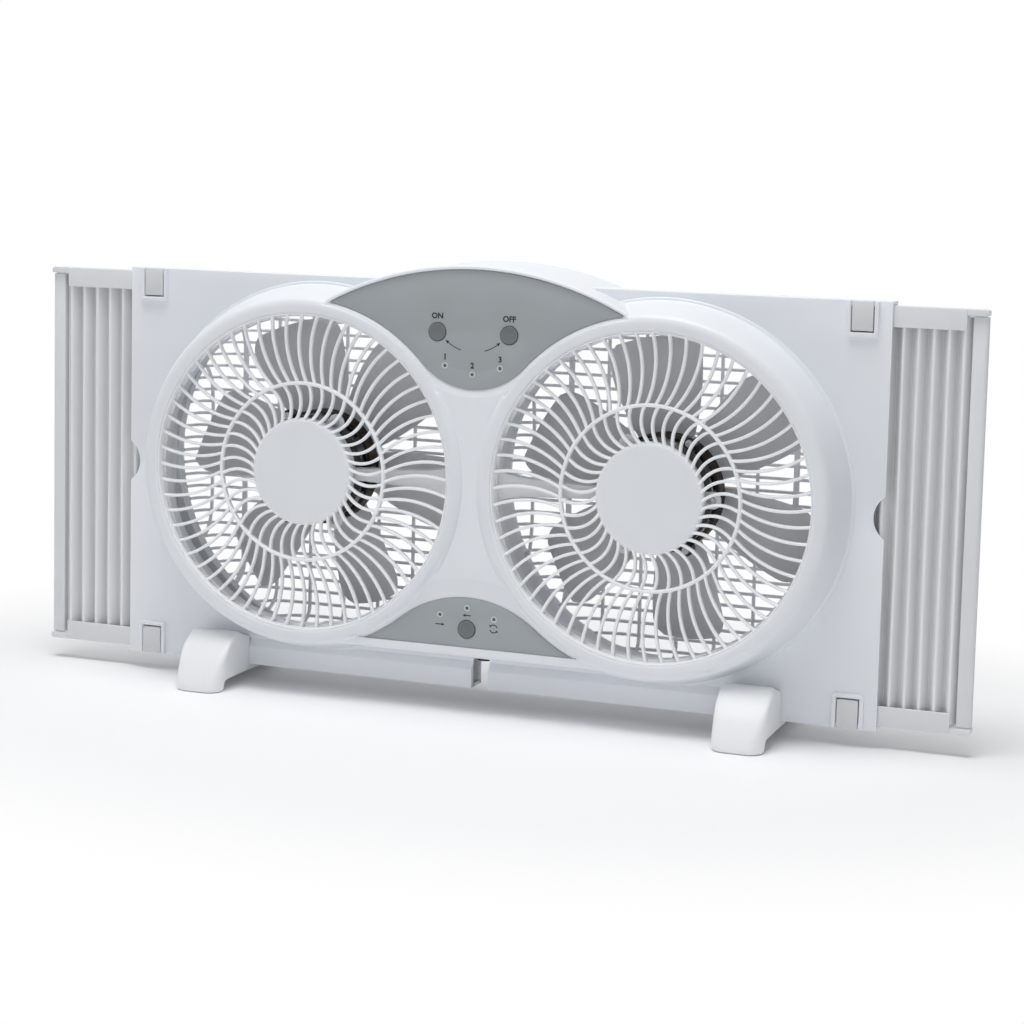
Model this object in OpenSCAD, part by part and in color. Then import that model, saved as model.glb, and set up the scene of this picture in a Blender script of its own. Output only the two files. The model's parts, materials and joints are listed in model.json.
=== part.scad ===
// Twin window fan with two side extender panels, standing on clip-on feet.
// The front faces -Y. The origin lies on the floor, under the middle of the housing.

/* [Housing] */
// Width of the flat housing, side to side
body_w = 591; // [585:1:600]
// Height of the flat housing
body_h = 300; // [298:1:302]
// Depth of the housing's edge, front panel to rear panel
body_d = 17; // [16.5:0.5:18]
// Wall thickness of the two housing shells
wall = 2.4; // [2:0.1:2.6]
// Height of the housing's underside above the floor
sill_lift = 13; // [13:1:16]

/* [Fans] */
// Distance of each fan axis from the middle of the housing
fan_x = 134.6; // [134:0.1:136]
// Height of the fan axes above the housing's mid-height
fan_rise = 6; // [4:1:8]
// Inside radius of the air ducts
duct_r = 115.2; // [114.5:0.1:115.5]
// Distance of the front bezel lips from the middle plane
lip_h = 44.5; // [43.5:0.5:46]
// Distance of the rear bezel lips from the middle plane
rear_lip_h = 42; // [42:0.5:44]
// Radius at the tips of the impeller blades
tip_r = 111; // [105:1:112]
// Number of blades on an impeller
blades = 6; // [5:1:7]

/* [Grilles] */
// Spokes between the middle ring and the rim
outer_spokes = 60; // [40:1:72]
// Spokes between the centre disc and the middle ring
inner_spokes = 40; // [24:1:48]
// Width of a spoke
spoke_w = 2.4; // [1.6:0.1:2.8]
// Radius of the middle ring
ring_r = 66; // [60:1:72]
// Radius of the centre disc
disc_r = 40; // [36:1:44]
// Pitch of the rear grille's level bars
lattice_pitch = 9.6; // [8:0.1:12]

/* [Controls] */
// Diameter of a push button
button_d = 13; // [11:0.5:13.5]
// Travel of a push button
button_travel = 1; // [0.6:0.1:1]
// Height of the on and off buttons above mid-height
button_rise = 115.6; // [114:0.1:117]

/* [Extenders] */
// How far the left end stile stands out of the housing
left_reach = 72.3; // [60:0.1:74]
// How far the right end stile stands out of the housing
right_reach = 64.7; // [60:0.1:74]
// Length of an extender rail
rail_l = 164; // [160:1:166]
// Folds in a curtain
folds = 8; // [6:1:9]

/* [Feet] */
// Distance of each foot from the middle of the housing
foot_x = 208.8; // [205:0.1:214]
// Width of a foot
foot_w = 38.5; // [34:0.5:40]
// Front-to-back length of a foot
foot_l = 132; // [124:1:140]

/* [Hidden] */

half_w = body_w / 2;
half_h = body_h / 2;
half_d = body_d / 2;
mid_z = sill_lift + half_h;
ledge_h = lip_h - 8;
rear_ledge_h = rear_lip_h - 6;
lip_r = duct_r + 2.8;
waist_h = lip_h - 3;
rear_waist_h = rear_lip_h - 3.5;
floor_h = waist_h - 3.5;
panel_t = 0.8;
base_r = duct_r + 22.8;
field_z = -120;

// the crown over the control panel is one arc about a low centre
crown_z = -81;
crown_r = 245.4;

// outline of the upper panel: crown arc, two arcs round the fans, one tight arc below
upper_arc = 242;
upper_side = 128.8;
upper_nose = 52.6;
upper_nose_z = 127.6;
upper_cut = 92.3;
// outline of the lower panel: a dome, two arcs round the fans, a straight base
lower_side = 130.7;
lower_dome = 81.7;
lower_dome_z = -158.3;
lower_cut = -95.1;
lower_base = -113;

button_x = 27.6;
mode_z = -99.7;
light_r = 2;
// board faces, measured forward of the middle plane
board_h = 29.6;
board_t = 1.6;

lock_x = half_w - 20.5;
lock_w = 16;
lock_pin_z = 147;
lock_pin_h = 8.6;
lock_pin_r = 1.2;

rail_top = half_h - 2.8;
rail_web = half_h - 8;
rail_low = half_h - 17.5;
stile_w = 11;
anchor_x = half_w - 29.5;
notch_w = 13;
notch_z = -128;

// Places a flat drawing (x, height above mid-height) from h0 to h1 in front of the middle plane
module plate(h0, h1) translate([0, -h0, mid_z]) rotate([90, 0, 0]) linear_extrude(h1 - h0) children();

// Turns a drawing or solid about an axis that runs forward through (x, z)
module about(x, z) translate([x, 0, mid_z + z]) rotate([90, 0, 0]) children();

// Sweeps a side profile (y, height above mid-height) from x0 to x1
module sweep_x(x0, x1) translate([x0, 0, mid_z]) rotate([90, 0, 90]) linear_extrude(x1 - x0) children();

module disc(r) circle(r = r, $fn = 180);

module box_at(lo, hi) translate(lo) cube(hi - lo);

module ring_solid(r0, r1, h) difference() {
  cylinder(h = h, r = r1, $fn = 180);
  translate([0, 0, -1]) cylinder(h = h + 2, r = r0, $fn = 180);
}

// Builds the right-hand form, and its mirror image on the left
module on_side(side) if (side > 0) children(); else mirror([1, 0, 0]) children();

// Builds the upper form, and its mirror image below mid-height
module on_level(level) translate([0, 0, mid_z])
  if (level > 0) children(); else mirror([0, 0, 1]) children();

// ---- Housing shells ----

// Outer profile of a fan bezel: flat lip, soft shoulder, steep flank, and a ledge for the grille
function bezel_outer(lip, ledge) = [
  [duct_r, 0], [base_r, 0], [base_r, half_d], [base_r - 0.8, half_d + 6], [base_r - 3.2, half_d + 18],
  [base_r - 6.2, lip - 8], [base_r - 8.6, lip - 4.4], [base_r - 11, lip - 2.2],
  [base_r - 14.5, lip - 0.7], [base_r - 17.2, lip], [lip_r + 1.2, lip], [lip_r, lip - 1.2],
  [lip_r, ledge], [duct_r, ledge]
];

// The hollow behind the bezel, between the duct wall and the flank
function bezel_inner(lip, ledge) = [
  [duct_r + wall, -1], [base_r - wall, -1], [base_r - wall, half_d], [base_r - 3.2, half_d + 6],
  [base_r - 5.8, half_d + 17], [base_r - 8.8, lip - 9.6], [base_r - 11, lip - 6.6],
  [base_r - 14.5, lip - 3.6], [lip_r + 2.2, lip - 2.8], [lip_r + 2.2, ledge - 1.6],
  [duct_r + wall, ledge - 1.6]
];

// The raised field between the bezels, under the crown; inset shrinks it for the hollow
module field(top, inset, back) intersection() {
  about(0, crown_z) rotate_extrude($fn = 360) polygon([
    [0, back], [crown_r - 2.4 - inset, back], [crown_r - inset, top - 3],
    [crown_r - 0.9 - inset, top - 0.8], [crown_r - 3 - inset, top], [0, top]
  ]);
  sweep_x(-fan_x, fan_x) polygon([
    [-back, field_z + 2 + inset], [-half_d, field_z + 2 + inset], [3 - top, field_z + inset],
    [1 - top, field_z + 0.8 + inset], [-top, field_z + 3 + inset], [-top, half_h + 20], [-back, half_h + 20]
  ]);
}

// Repeats a form about both fan axes
module at_fans() for (side = [-1, 1]) about(side * fan_x, fan_rise) children();

// A cylinder through the whole depth of one shell, for clearing the fans' openings
module fan_clear(r) translate([0, 0, -2]) cylinder(h = 60, r = r, $fn = 180);

module shell_blank(lip, ledge, waist) {
  difference() {
    union() {
      plate(0, half_d) square([body_w, body_h], center = true);
      at_fans() rotate_extrude($fn = 180) polygon(bezel_outer(lip, ledge));
      difference() {
        field(waist, 0, 0);
        at_fans() fan_clear(lip_r + 1);
      }
    }
    plate(-1, half_d - wall) square([body_w + 10, body_h - 2 * wall], center = true);
    at_fans() {
      rotate_extrude($fn = 180) polygon(bezel_inner(lip, ledge));
      translate([0, 0, -1]) cylinder(h = 20, r = duct_r, $fn = 180);
    }
    difference() {
      field(waist - wall, wall, -1);
      at_fans() fan_clear(lip_r + 2.2);
    }
  }
  at_fans() ring_solid(duct_r, duct_r + wall, ledge - 0.5);
}

// Flat outlines of the two control panels, grown by g, and at the nose by nose_g
module upper_outline(g, nose_g) difference() {
  intersection() {
    translate([0, crown_z]) circle(r = upper_arc + g, $fn = 360);
    union() {
      translate([-fan_x, upper_cut]) square([2 * fan_x, 90]);
      translate([0, upper_nose_z]) disc(upper_nose + nose_g);
    }
  }
  for (s = [-1, 1]) translate([s * fan_x, fan_rise]) disc(upper_side - g);
}

module lower_outline(g) difference() {
  union() {
    translate([-lower_side, lower_base - g]) square([2 * lower_side, lower_cut - lower_base + g]);
    intersection() {
      translate([0, lower_dome_z]) disc(lower_dome + g);
      translate([-fan_x, lower_base - g]) square([2 * fan_x, 60]);
    }
  }
  for (s = [-1, 1]) translate([s * fan_x, fan_rise]) disc(lower_side - g);
}

// A cone that widens forward, from the pocket floor to above the waist
module flare(x, z, r, grow) about(x, z) translate([0, 0, floor_h])
  cylinder(h = 8, r1 = r, r2 = r + grow * 8 / (waist_h - floor_h), $fn = 240);

// Dished pockets that the panels lie in, with sloping sides
module upper_pocket() difference() {
  intersection() {
    flare(0, crown_z, upper_arc + 0.2, 1.4);
    union() {
      plate(floor_h, floor_h + 8) translate([-fan_x, upper_cut]) square([2 * fan_x, 90]);
      flare(0, upper_nose_z, upper_nose + 0.2, 5);
    }
  }
  for (s = [-1, 1]) flare(s * fan_x, fan_rise, upper_side - 0.2, -1.4);
}

module lower_pocket() difference() {
  union() {
    plate(floor_h, floor_h + 8) translate([-110, lower_base - 0.2]) square([220, lower_cut - lower_base]);
    intersection() {
      flare(0, lower_dome_z, lower_dome + 0.2, 13.6);
      plate(floor_h, floor_h + 8) translate([-110, lower_base - 0.2]) square([220, 90]);
    }
  }
  for (s = [-1, 1]) flare(s * fan_x, fan_rise, lower_side - 0.2, -3);
}

// Centres of the buttons and lights, as (x, height above mid-height)
speed_at = [-button_x, button_rise];
off_at = [button_x, button_rise];
mode_at = [0, mode_z];
speed_light_at = [[-21.2, 91.5], [0, 86], [21.2, 91.5]];
mode_light_at = [[-21, -90.5], [0, -84], [21, -90.5]];

module control_holes(g) {
  for (p = [speed_at, off_at, mode_at]) translate(p) circle(d = button_d + 0.8, $fn = 48);
  for (p = concat(speed_light_at, mode_light_at)) translate(p) circle(r = light_r + g, $fn = 32);
}

// Places of the shell screws, which join the shells from behind
screw_at = [
  for (s = [-1, 1]) for (p = [[250, 105], [250, -95], [100, 141], [100, -138]]) [s * p[0], p[1]],
  [0, 52], [0, -44]
];
// Places of the posts under the two boards
board_post_at = [[-13, 122], [13, 122], [-34, 96], [34, 96]];
mode_post_at = [[-23, -102], [23, -102]];

// Half-moon cuts at mid-height that let a finger reach a closed end stile
module finger_cut() for (s = [-1, 1]) translate([s * (half_w + 10.1), 0]) circle(r = 18.1, $fn = 96);

module screw_posts(waist) for (p = screw_at) about(p[0], p[1])
  cylinder(h = (p[0] == 0 ? waist : half_d) - 1, r = 4, $fn = 32);

module cord_cut() translate([-notch_w / 2, -half_h - 1]) square([notch_w, notch_z + half_h + 1]);

module gland_seat() difference() {
  plate(0, half_d - wall) translate([-10, notch_z + 1]) square([20, 7]);
  translate([0, 0, mid_z + notch_z - 2]) cylinder(h = 20, r = 5.5, $fn = 48);
}

module front_shell() color("whitesmoke") difference() {
  union() {
    shell_blank(lip_h, ledge_h, waist_h);
    // pans under the two control panels
    plate(floor_h - 2.2, waist_h - 1) {
      upper_outline(2.2, 6);
      intersection() {
        lower_outline(7);
        translate([-110, field_z + 2.6]) square([220, 80]);
      }
    }
    // sill band between the feet, with a sloped top
    sweep_x(foot_w / 2 - foot_x, foot_x - foot_w / 2) polygon([
      [-half_d + 1, -half_h], [-half_d - 4, -half_h], [-half_d - 4, -half_h + 14.5],
      [-half_d, -half_h + 20], [-half_d + 1, -half_h + 20]
    ]);
    for (sx = [-1, 1]) for (sz = [-1, 1]) lock_border(sx, sz);
    screw_posts(waist_h);
    for (p = concat(board_post_at, mode_post_at))
      about(p[0], p[1]) translate([0, 0, board_h]) cylinder(h = floor_h - board_h - 1, r = 2.6, $fn = 24);
    gland_seat();
  }
  upper_pocket();
  lower_pocket();
  plate(floor_h - 4, lip_h + 1) control_holes(0.15);
  plate(-1, lip_h) {
    finger_cut();
    cord_cut();
  }
  for (sx = [-1, 1]) for (sz = [-1, 1]) lock_window(sx, sz);
  for (p = screw_at) about(p[0], p[1]) translate([0, 0, -1]) cylinder(h = 6, r = 1.5, $fn = 24);
}

// Raised three-sided border round a lock tab
module lock_border(side, level) on_side(side) on_level(level) {
  for (x = [lock_x - lock_w / 2 - 3.2, lock_x + lock_w / 2 + 0.2])
    box_at([x, -half_d - 1.8, half_h - 25.5], [x + 3, -half_d + 1, half_h]);
  box_at([lock_x - 11.2, -half_d - 1.8, half_h - 25.5], [lock_x + 11.2, -half_d + 1, half_h - 22.3]);
}

// Window behind the tab, and the holes for its trunnions
module lock_window(side, level) on_side(side) on_level(level) {
  box_at(
    [lock_x - lock_w / 2 - 0.2, -half_d - 3, half_h - 22.3],
    [lock_x + lock_w / 2 + 0.2, -half_d + wall + 0.1, half_h + 1]
  );
  translate([lock_x - 10, -lock_pin_h, lock_pin_z]) rotate([0, 90, 0])
    cylinder(h = 20, r = lock_pin_r + 0.08, $fn = 24);
}

module rear_shell() color("gainsboro") difference() {
  union() {
    mirror([0, 1, 0]) shell_blank(rear_lip_h, rear_ledge_h, rear_waist_h);
    // strips that hold the inner ends of the curtains, and rests beside the rails
    for (side = [-1, 1]) on_side(side) {
      box_at(
        [anchor_x - 4, -half_d + wall + 0.3, mid_z - 128],
        [anchor_x, half_d - wall + 1, mid_z + 128]
      );
      for (level = [-1, 1]) on_level(level) box_at(
        [anchor_x - 30, -half_d + wall + 0.3, rail_low - 2.8],
        [anchor_x - 6, half_d - wall + 1, rail_low - 0.4]
      );
    }
    mirror([0, 1, 0]) {
      screw_posts(rear_waist_h);
      gland_seat();
    }
  }
  mirror([0, 1, 0]) {
    plate(-1, lip_h) {
      finger_cut();
      cord_cut();
    }
    for (p = screw_at) about(p[0], p[1]) {
      translate([0, 0, -1]) cylinder(h = 60, r = 1.8, $fn = 24);
      translate([0, 0, 4]) cylinder(h = 60, r = 3.2, $fn = 32);
    }
  }
}

module shell_screws() color("silver") for (p = screw_at) mirror([0, 1, 0]) about(p[0], p[1]) {
  translate([0, 0, -4.8]) cylinder(h = 9, r = 1.5, $fn = 24);
  translate([0, 0, 4]) cylinder(h = 2.2, r = 2.9, $fn = 32);
}

// ---- Grilles ----

// A bar whose middle line is one arc, from polar (r0, a0) to (r1, a1), bowed by the given rise
module bowed_bar(r0, a0, r1, a1, rise, depth) {
  p = r0 * [cos(a0), sin(a0)];
  q = r1 * [cos(a1), sin(a1)];
  run = norm(q - p);
  r = run * run / 8 / abs(rise) + abs(rise) / 2;
  along = (q - p) / run;
  out = sign(rise) * [-along[1], along[0]];
  half = asin(run / 2 / r);
  translate((p + q) / 2 - out * (r - abs(rise))) rotate(atan2(out[1], out[0]) - half)
    rotate_extrude(angle = 2 * half, $fn = 96) translate([r - spoke_w / 2, 0]) square([spoke_w, depth]);
}

// Spiral grille: S-shaped spokes in two rows; hand is 1 on the left and -1 on the right
module front_grille(side, hand) color("white") about(side * fan_x, fan_rise) {
  translate([0, 0, ledge_h]) ring_solid(duct_r, lip_r - 0.3, 4);
  translate([0, 0, ledge_h]) ring_solid(ring_r - 1.65, ring_r + 1.65, 4);
  rotate_extrude($fn = 180) polygon([
    [0, ledge_h + 1.6], [disc_r - 2.4, ledge_h + 1.6], [disc_r - 2.4, ledge_h - 2.5],
    [disc_r, ledge_h - 2.5], [disc_r, ledge_h + 2.8], [disc_r - 0.5, ledge_h + 3.7],
    [disc_r - 1.5, ledge_h + 4.1], [0, ledge_h + 4.6]
  ]);
  translate([0, 0, ledge_h + 0.4]) {
    for (i = [0 : outer_spokes - 1]) {
      a = 0.55 + i * 360 / outer_spokes;
      bowed_bar(duct_r + 1.2, a, ring_r + 0.8, a - 2.9 * hand, -4.4 * hand, 3.2);
    }
    for (i = [0 : inner_spokes - 1]) {
      a = 4.8 + i * 360 / inner_spokes;
      bowed_bar(ring_r - 0.8, a, disc_r - 1.2, a + 3 * hand, 3.9 * hand, 3.2);
    }
  }
}

// Square lattice of the rear grille, inside a round rim
module rear_grille(side) color("gainsboro") mirror([0, 1, 0]) about(side * fan_x, fan_rise)
  translate([0, 0, rear_ledge_h]) {
  ring_solid(duct_r - 1.4, lip_r - 0.3, 3);
  linear_extrude(3) intersection() {
    disc(duct_r);
    union() {
      for (i = [-12 : 12]) translate([0, i * lattice_pitch]) square([2 * duct_r, 2.2], center = true);
      for (i = [-3 : 3]) translate([i * 3 * lattice_pitch, 0])
        square([abs(i) == 3 ? 4.4 : 2.4, 2 * duct_r], center = true);
    }
  }
}

// ---- Impellers and motors ----

hub_r = 36;
hub_front = -15;
hub_back = -32;
shaft_r = 4;
// radii at which a blade's section is drawn, from inside the hub wall to the tip
root_r = hub_r - 1.6;
stations = [for (f = [0, 0.16, 0.34, 0.52, 0.68, 0.81, 0.9, 0.96, 1]) root_r + f * (tip_r - root_r)];
chord_points = 9;

blade_mid_h = -23.5;

// How far out a radius lies, 0 at the hub and 1 at the tips
function outward(r) = (r - hub_r) / (tip_r - hub_r);
// How much the tip's corners are rounded off at radius r
function tip_round(r) = sqrt(1 - pow(max(0, (r - tip_r + 9) / 9), 2) * 0.32);
// Half the angle that a blade covers at radius r
function half_span(r) = (27 - 10.5 * outward(r)) * tip_round(r);
// Forward position of the blade's middle surface, t from -1 to 1 along the chord
function blade_h(r, t) = blade_mid_h + 6 * min(1, 1.6 * outward(r)) * (1 + t) + 8 * t - 3.2 * (1 - t * t);
// Half the blade's thickness
function blade_t(r, t) = 0.35 + (0.75 - 0.3 * outward(r)) * (1 - t * t);

function blade_points() = [
  for (side = [-1, 1]) for (r = stations) for (j = [0 : chord_points - 1])
    let (t = 2 * j / (chord_points - 1) - 1, a = half_span(r) * t)
      [r * cos(a), r * sin(a), blade_h(r, t) + side * blade_t(r, t)]
];
function at(s, i, j) = (s * len(stations) + i) * chord_points + j;
last_i = len(stations) - 1;
last_j = chord_points - 1;
blade_faces = concat(
  [for (i = [0 : last_i - 1]) for (j = [0 : last_j - 1]) for (k = [0, 1])
    k == 0 ? [at(1, i, j), at(1, i, j + 1), at(1, i + 1, j)]
      : [at(1, i + 1, j), at(1, i, j + 1), at(1, i + 1, j + 1)]],
  [for (i = [0 : last_i - 1]) for (j = [0 : last_j - 1]) for (k = [0, 1])
    k == 0 ? [at(0, i, j), at(0, i + 1, j), at(0, i, j + 1)]
      : [at(0, i + 1, j), at(0, i + 1, j + 1), at(0, i, j + 1)]],
  [for (i = [0 : last_i - 1]) for (k = [0, 1])
    k == 0 ? [at(0, i, 0), at(1, i, 0), at(0, i + 1, 0)] : [at(0, i + 1, 0), at(1, i, 0), at(1, i + 1, 0)]],
  [for (i = [0 : last_i - 1]) for (k = [0, 1])
    k == 0 ? [at(0, i, last_j), at(0, i + 1, last_j), at(1, i, last_j)]
      : [at(0, i + 1, last_j), at(1, i + 1, last_j), at(1, i, last_j)]],
  [for (j = [0 : last_j - 1]) for (k = [0, 1])
    k == 0 ? [at(0, 0, j), at(0, 0, j + 1), at(1, 0, j)] : [at(0, 0, j + 1), at(1, 0, j + 1), at(1, 0, j)]],
  [for (j = [0 : last_j - 1]) for (k = [0, 1])
    k == 0 ? [at(0, last_i, j), at(1, last_i, j), at(0, last_i, j + 1)]
      : [at(0, last_i, j + 1), at(1, last_i, j), at(1, last_i, j + 1)]]
);

module impeller(side, phase) color("darkgray") about(side * fan_x, fan_rise) {
  // hub: an open cup with a boss on the shaft
  rotate_extrude($fn = 120) polygon([
    [shaft_r + 0.02, hub_front - 2], [9, hub_front - 2], [9, hub_back + 2.5], [hub_r - 2.5, hub_back + 2.5],
    [hub_r - 2.5, hub_front], [hub_r, hub_front], [hub_r, hub_back + 1.5], [hub_r - 1.5, hub_back],
    [shaft_r + 0.02, hub_back]
  ]);
  for (i = [0 : blades - 1]) rotate(phase + i * 360 / blades)
    polyhedron(blade_points(), blade_faces, convexity = 4);
}

module impeller_nut(side) color("dimgray") about(side * fan_x, fan_rise)
  translate([0, 0, hub_back - 3]) difference() {
  cylinder(h = 3, r = 7, $fn = 6);
  translate([0, 0, -1]) cylinder(h = 5, r = shaft_r + 0.02, $fn = 32);
}

bracket_h = 23.5;
bell_h = 8;
stator_h = -6;
rear_bell_h = -13;

module motor_shaft(side) color("silver") about(side * fan_x, fan_rise) translate([0, 0, hub_back - 3.5])
  cylinder(h = 21.5 - hub_back + 3.5, r = shaft_r, $fn = 32);

module motor_rotor(side) color("slategray") about(side * fan_x, fan_rise) difference() {
  translate([0, 0, stator_h]) cylinder(h = bell_h - stator_h, r = 23, $fn = 64);
  translate([0, 0, stator_h - 1]) cylinder(h = 20, r = shaft_r + 0.02, $fn = 32);
}

// Laminated stack with pole slots on its bore
module motor_stator(side) color([0.23, 0.17, 0.14]) about(side * fan_x, fan_rise)
  translate([0, 0, stator_h])
  linear_extrude(bell_h - stator_h) difference() {
    disc(43);
    circle(r = 23.6, $fn = 96);
    for (i = [0 : 5]) rotate(i * 60 + 30) {
      translate([22, -1.2]) square([8, 2.4]);
      translate([33, 0]) circle(r = 4, $fn = 24);
    }
  }

// Copper end turns, in front of and behind the stack
module motor_windings(side) color([0.6, 0.3, 0.16]) about(side * fan_x, fan_rise) {
  translate([0, 0, bell_h]) rotate_extrude($fn = 96) polygon([
    [26, 0], [38, 0], [38, 4.5], [35.5, 7], [28.5, 7], [26, 4.5]
  ]);
  translate([0, 0, stator_h]) rotate_extrude($fn = 96) polygon([
    [27, 0], [38, 0], [38, -2.6], [36, -4.4], [29, -4.4], [27, -2.6]
  ]);
}

// First lug of the motor's own bolts, and first lug of its carrier; the left motor is a mirror image
function bolt_angle(side) = side > 0 ? 60 : 120;
function lug_angle(side) = side > 0 ? 0 : 180;
bolt_ring_r = 44;
lug_ring_r = 42;

// Repeats a form three times on a ring of the given radius
module three_on(r, first) for (i = [0 : 2]) rotate(first + i * 120) translate([r, 0]) children();

module motor_front_bell(side) color([0.09, 0.09, 0.1]) about(side * fan_x, fan_rise) difference() {
  union() {
    rotate_extrude($fn = 96) polygon([
      [8, bracket_h - 2.2], [8, bracket_h], [36.5, bracket_h], [40.5, bracket_h - 3.5],
      [41.5, bell_h], [39.4, bell_h], [38.4, bracket_h - 4.2], [35.5, bracket_h - 2.2]
    ]);
    difference() {
      translate([0, 0, bell_h + 0.6])
        three_on(bolt_ring_r, bolt_angle(side)) cylinder(h = 9.4, r = 4.6, $fn = 32);
      cylinder(h = 20, r = 40, $fn = 96);
    }
    translate([0, 0, bracket_h - 3]) linear_extrude(3) three_on(lug_ring_r, lug_angle(side)) {
      circle(r = 5, $fn = 48);
      translate([-5, -5]) square([5, 10]);
    }
  }
  // vents over the windings
  for (i = [0 : 11]) rotate(i * 30 + 15) translate([36, -5.2, bell_h + 3]) cube([8, 10.4, 6]);
  translate([0, 0, bell_h - 1])
    three_on(bolt_ring_r, bolt_angle(side)) cylinder(h = 14, r = 1.7, $fn = 24);
  translate([0, 0, bracket_h - 4])
    three_on(lug_ring_r, lug_angle(side)) cylinder(h = 6, r = 1.6, $fn = 24);
}

module motor_rear_bell(side) color([0.09, 0.09, 0.1]) about(side * fan_x, fan_rise)
  rotate_extrude($fn = 96) polygon([
  [8, rear_bell_h], [37, rear_bell_h], [40, rear_bell_h + 2.4], [41.5, stator_h], [39.4, stator_h],
  [38.4, rear_bell_h + 3.4], [36.4, rear_bell_h + 2.2], [8, rear_bell_h + 2.2]
]);

// Two bronze bushes that carry the shaft
module motor_bushes(side) color([0.7, 0.5, 0.25]) about(side * fan_x, fan_rise) {
  for (h = [bracket_h - 4.5, rear_bell_h]) translate([0, 0, h]) difference() {
    cylinder(h = 4.5, r = 8, $fn = 48);
    translate([0, 0, -1]) cylinder(h = 7, r = shaft_r + 0.04, $fn = 32);
  }
}

// White carrier: a plate with three lugs and one tapered arm to the duct wall at the waist
module motor_bracket(side) color("white") about(side * fan_x, fan_rise) intersection() {
  cylinder(h = 60, r = duct_r, $fn = 180);
  difference() {
    translate([0, 0, bracket_h]) union() {
      cylinder(h = 2.5, r = 37, $fn = 96);
      linear_extrude(2.5) three_on(lug_ring_r, lug_angle(side)) {
        circle(r = 6.5, $fn = 48);
        translate([-12, -6.5]) square([12, 13]);
      }
      // arm, deeper and taller towards the waist
      mirror([side > 0 ? 1 : 0, 0, 0]) {
        linear_extrude(8.5) polygon([[20, -3.6], [118, -7.6], [118, 7.6], [20, 3.6]]);
        translate([108, 0, 0]) linear_extrude(10.5) polygon([[0, -9.5], [10, -13], [10, 13], [0, 9.5]]);
      }
    }
    translate([0, 0, bracket_h - 1])
      three_on(lug_ring_r, lug_angle(side)) cylinder(h = 20, r = 1.6, $fn = 24);
  }
}

// Three motor bolts and three carrier screws for each motor
module motor_screws() color("silver") for (side = [-1, 1]) about(side * fan_x, fan_rise) {
  translate([0, 0, bell_h]) three_on(bolt_ring_r, bolt_angle(side)) {
    cylinder(h = 10, r = 1.7, $fn = 24);
    translate([0, 0, 10]) cylinder(h = 1.8, r = 2.9, $fn = 32);
  }
  translate([0, 0, bracket_h - 3]) three_on(lug_ring_r, lug_angle(side)) {
    cylinder(h = 5.5, r = 1.6, $fn = 24);
    translate([0, 0, 5.5]) cylinder(h = 1.8, r = 3, $fn = 32);
  }
}

// ---- Controls ----

module upper_panel() color([0.57, 0.6, 0.61]) plate(floor_h, floor_h + panel_t) difference() {
  upper_outline(0, 0);
  control_holes(0.15);
}

module lower_panel() color([0.55, 0.57, 0.59]) plate(floor_h, floor_h + panel_t) difference() {
  lower_outline(0);
  control_holes(0.15);
}

// A domed cap with a retaining flange behind the panel floor and a stem over its switch
module push_button(p) color([0.41, 0.44, 0.44]) about(p[0], p[1]) rotate_extrude($fn = 64) polygon([
  [0, floor_h - 4.1], [2.2, floor_h - 4.1], [2.2, floor_h - 3.7], [button_d / 2 + 1.5, floor_h - 3.7],
  [button_d / 2 + 1.5, floor_h - 2.4], [button_d / 2, floor_h - 2.4], [button_d / 2, floor_h + 1.6],
  [button_d / 2 - 0.6, floor_h + 2.3], [button_d / 2 - 2, floor_h + 2.7], [0, floor_h + 2.9]
]);

module lights(points) color([0.45, 0.48, 0.47]) for (p = points) about(p[0], p[1])
  translate([0, 0, board_h]) cylinder(h = floor_h + panel_t + 0.3 - board_h, r = light_r, $fn = 32);

module control_board() color([0.15, 0.4, 0.25]) plate(board_h - board_t, board_h) difference() {
  translate([-40, 82]) square([80, 46]);
  for (p = board_post_at) translate(p) circle(r = 1.2, $fn = 24);
}

module mode_board() color([0.15, 0.4, 0.25]) plate(board_h - board_t, board_h)
  translate([-28, -107]) square([56, 26]);

// Square push switches under the button stems
module push_switches() color("black") for (p = [speed_at, off_at, mode_at])
  plate(board_h, floor_h - 4.2 - button_travel) translate(p) square([6, 6], center = true);

module run_capacitors() color("white") mirror([0, 1, 0]) for (x = [-9, 9])
  plate(rear_waist_h - wall - 14, rear_waist_h - wall) translate([x, -66]) square([15, 30], center = true);

// Bushing that the cord would pass through, above the notch in the sill
module cord_gland() color([0.2, 0.2, 0.2]) translate([0, 0, mid_z + notch_z])
  rotate_extrude($fn = 48) polygon([
  [3.2, -2], [6, -2], [6, 1], [5.5, 1], [5.5, 8], [6, 8], [6, 9.5], [3.2, 9.5]
]);

// ---- Extenders ----

// Channel rail: a web and two flanges that end short of the outer tip
module rail(side, reach, level) color("lightgray") on_side(side) on_level(level) {
  x1 = half_w + reach;
  box_at([x1 - rail_l, -5.5, rail_web], [x1, 5.5, rail_top]);
  for (y = [-5.5, 4.1]) box_at([x1 - rail_l, y, rail_low], [x1 - 14.5, y + 1.4, rail_top]);
}

// End stile: a box bar with a shallow groove down its outer face
module end_stile(side, reach) color("lightgray") on_side(side) on_level(1) {
  x1 = half_w + reach;
  difference() {
    box_at([x1 - stile_w, -3.5, -rail_web], [x1, 3.5, rail_web]);
    box_at([x1 - 1.5, -1.2, -rail_web - 1], [x1 + 1, 1.2, rail_web + 1]);
  }
}

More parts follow.
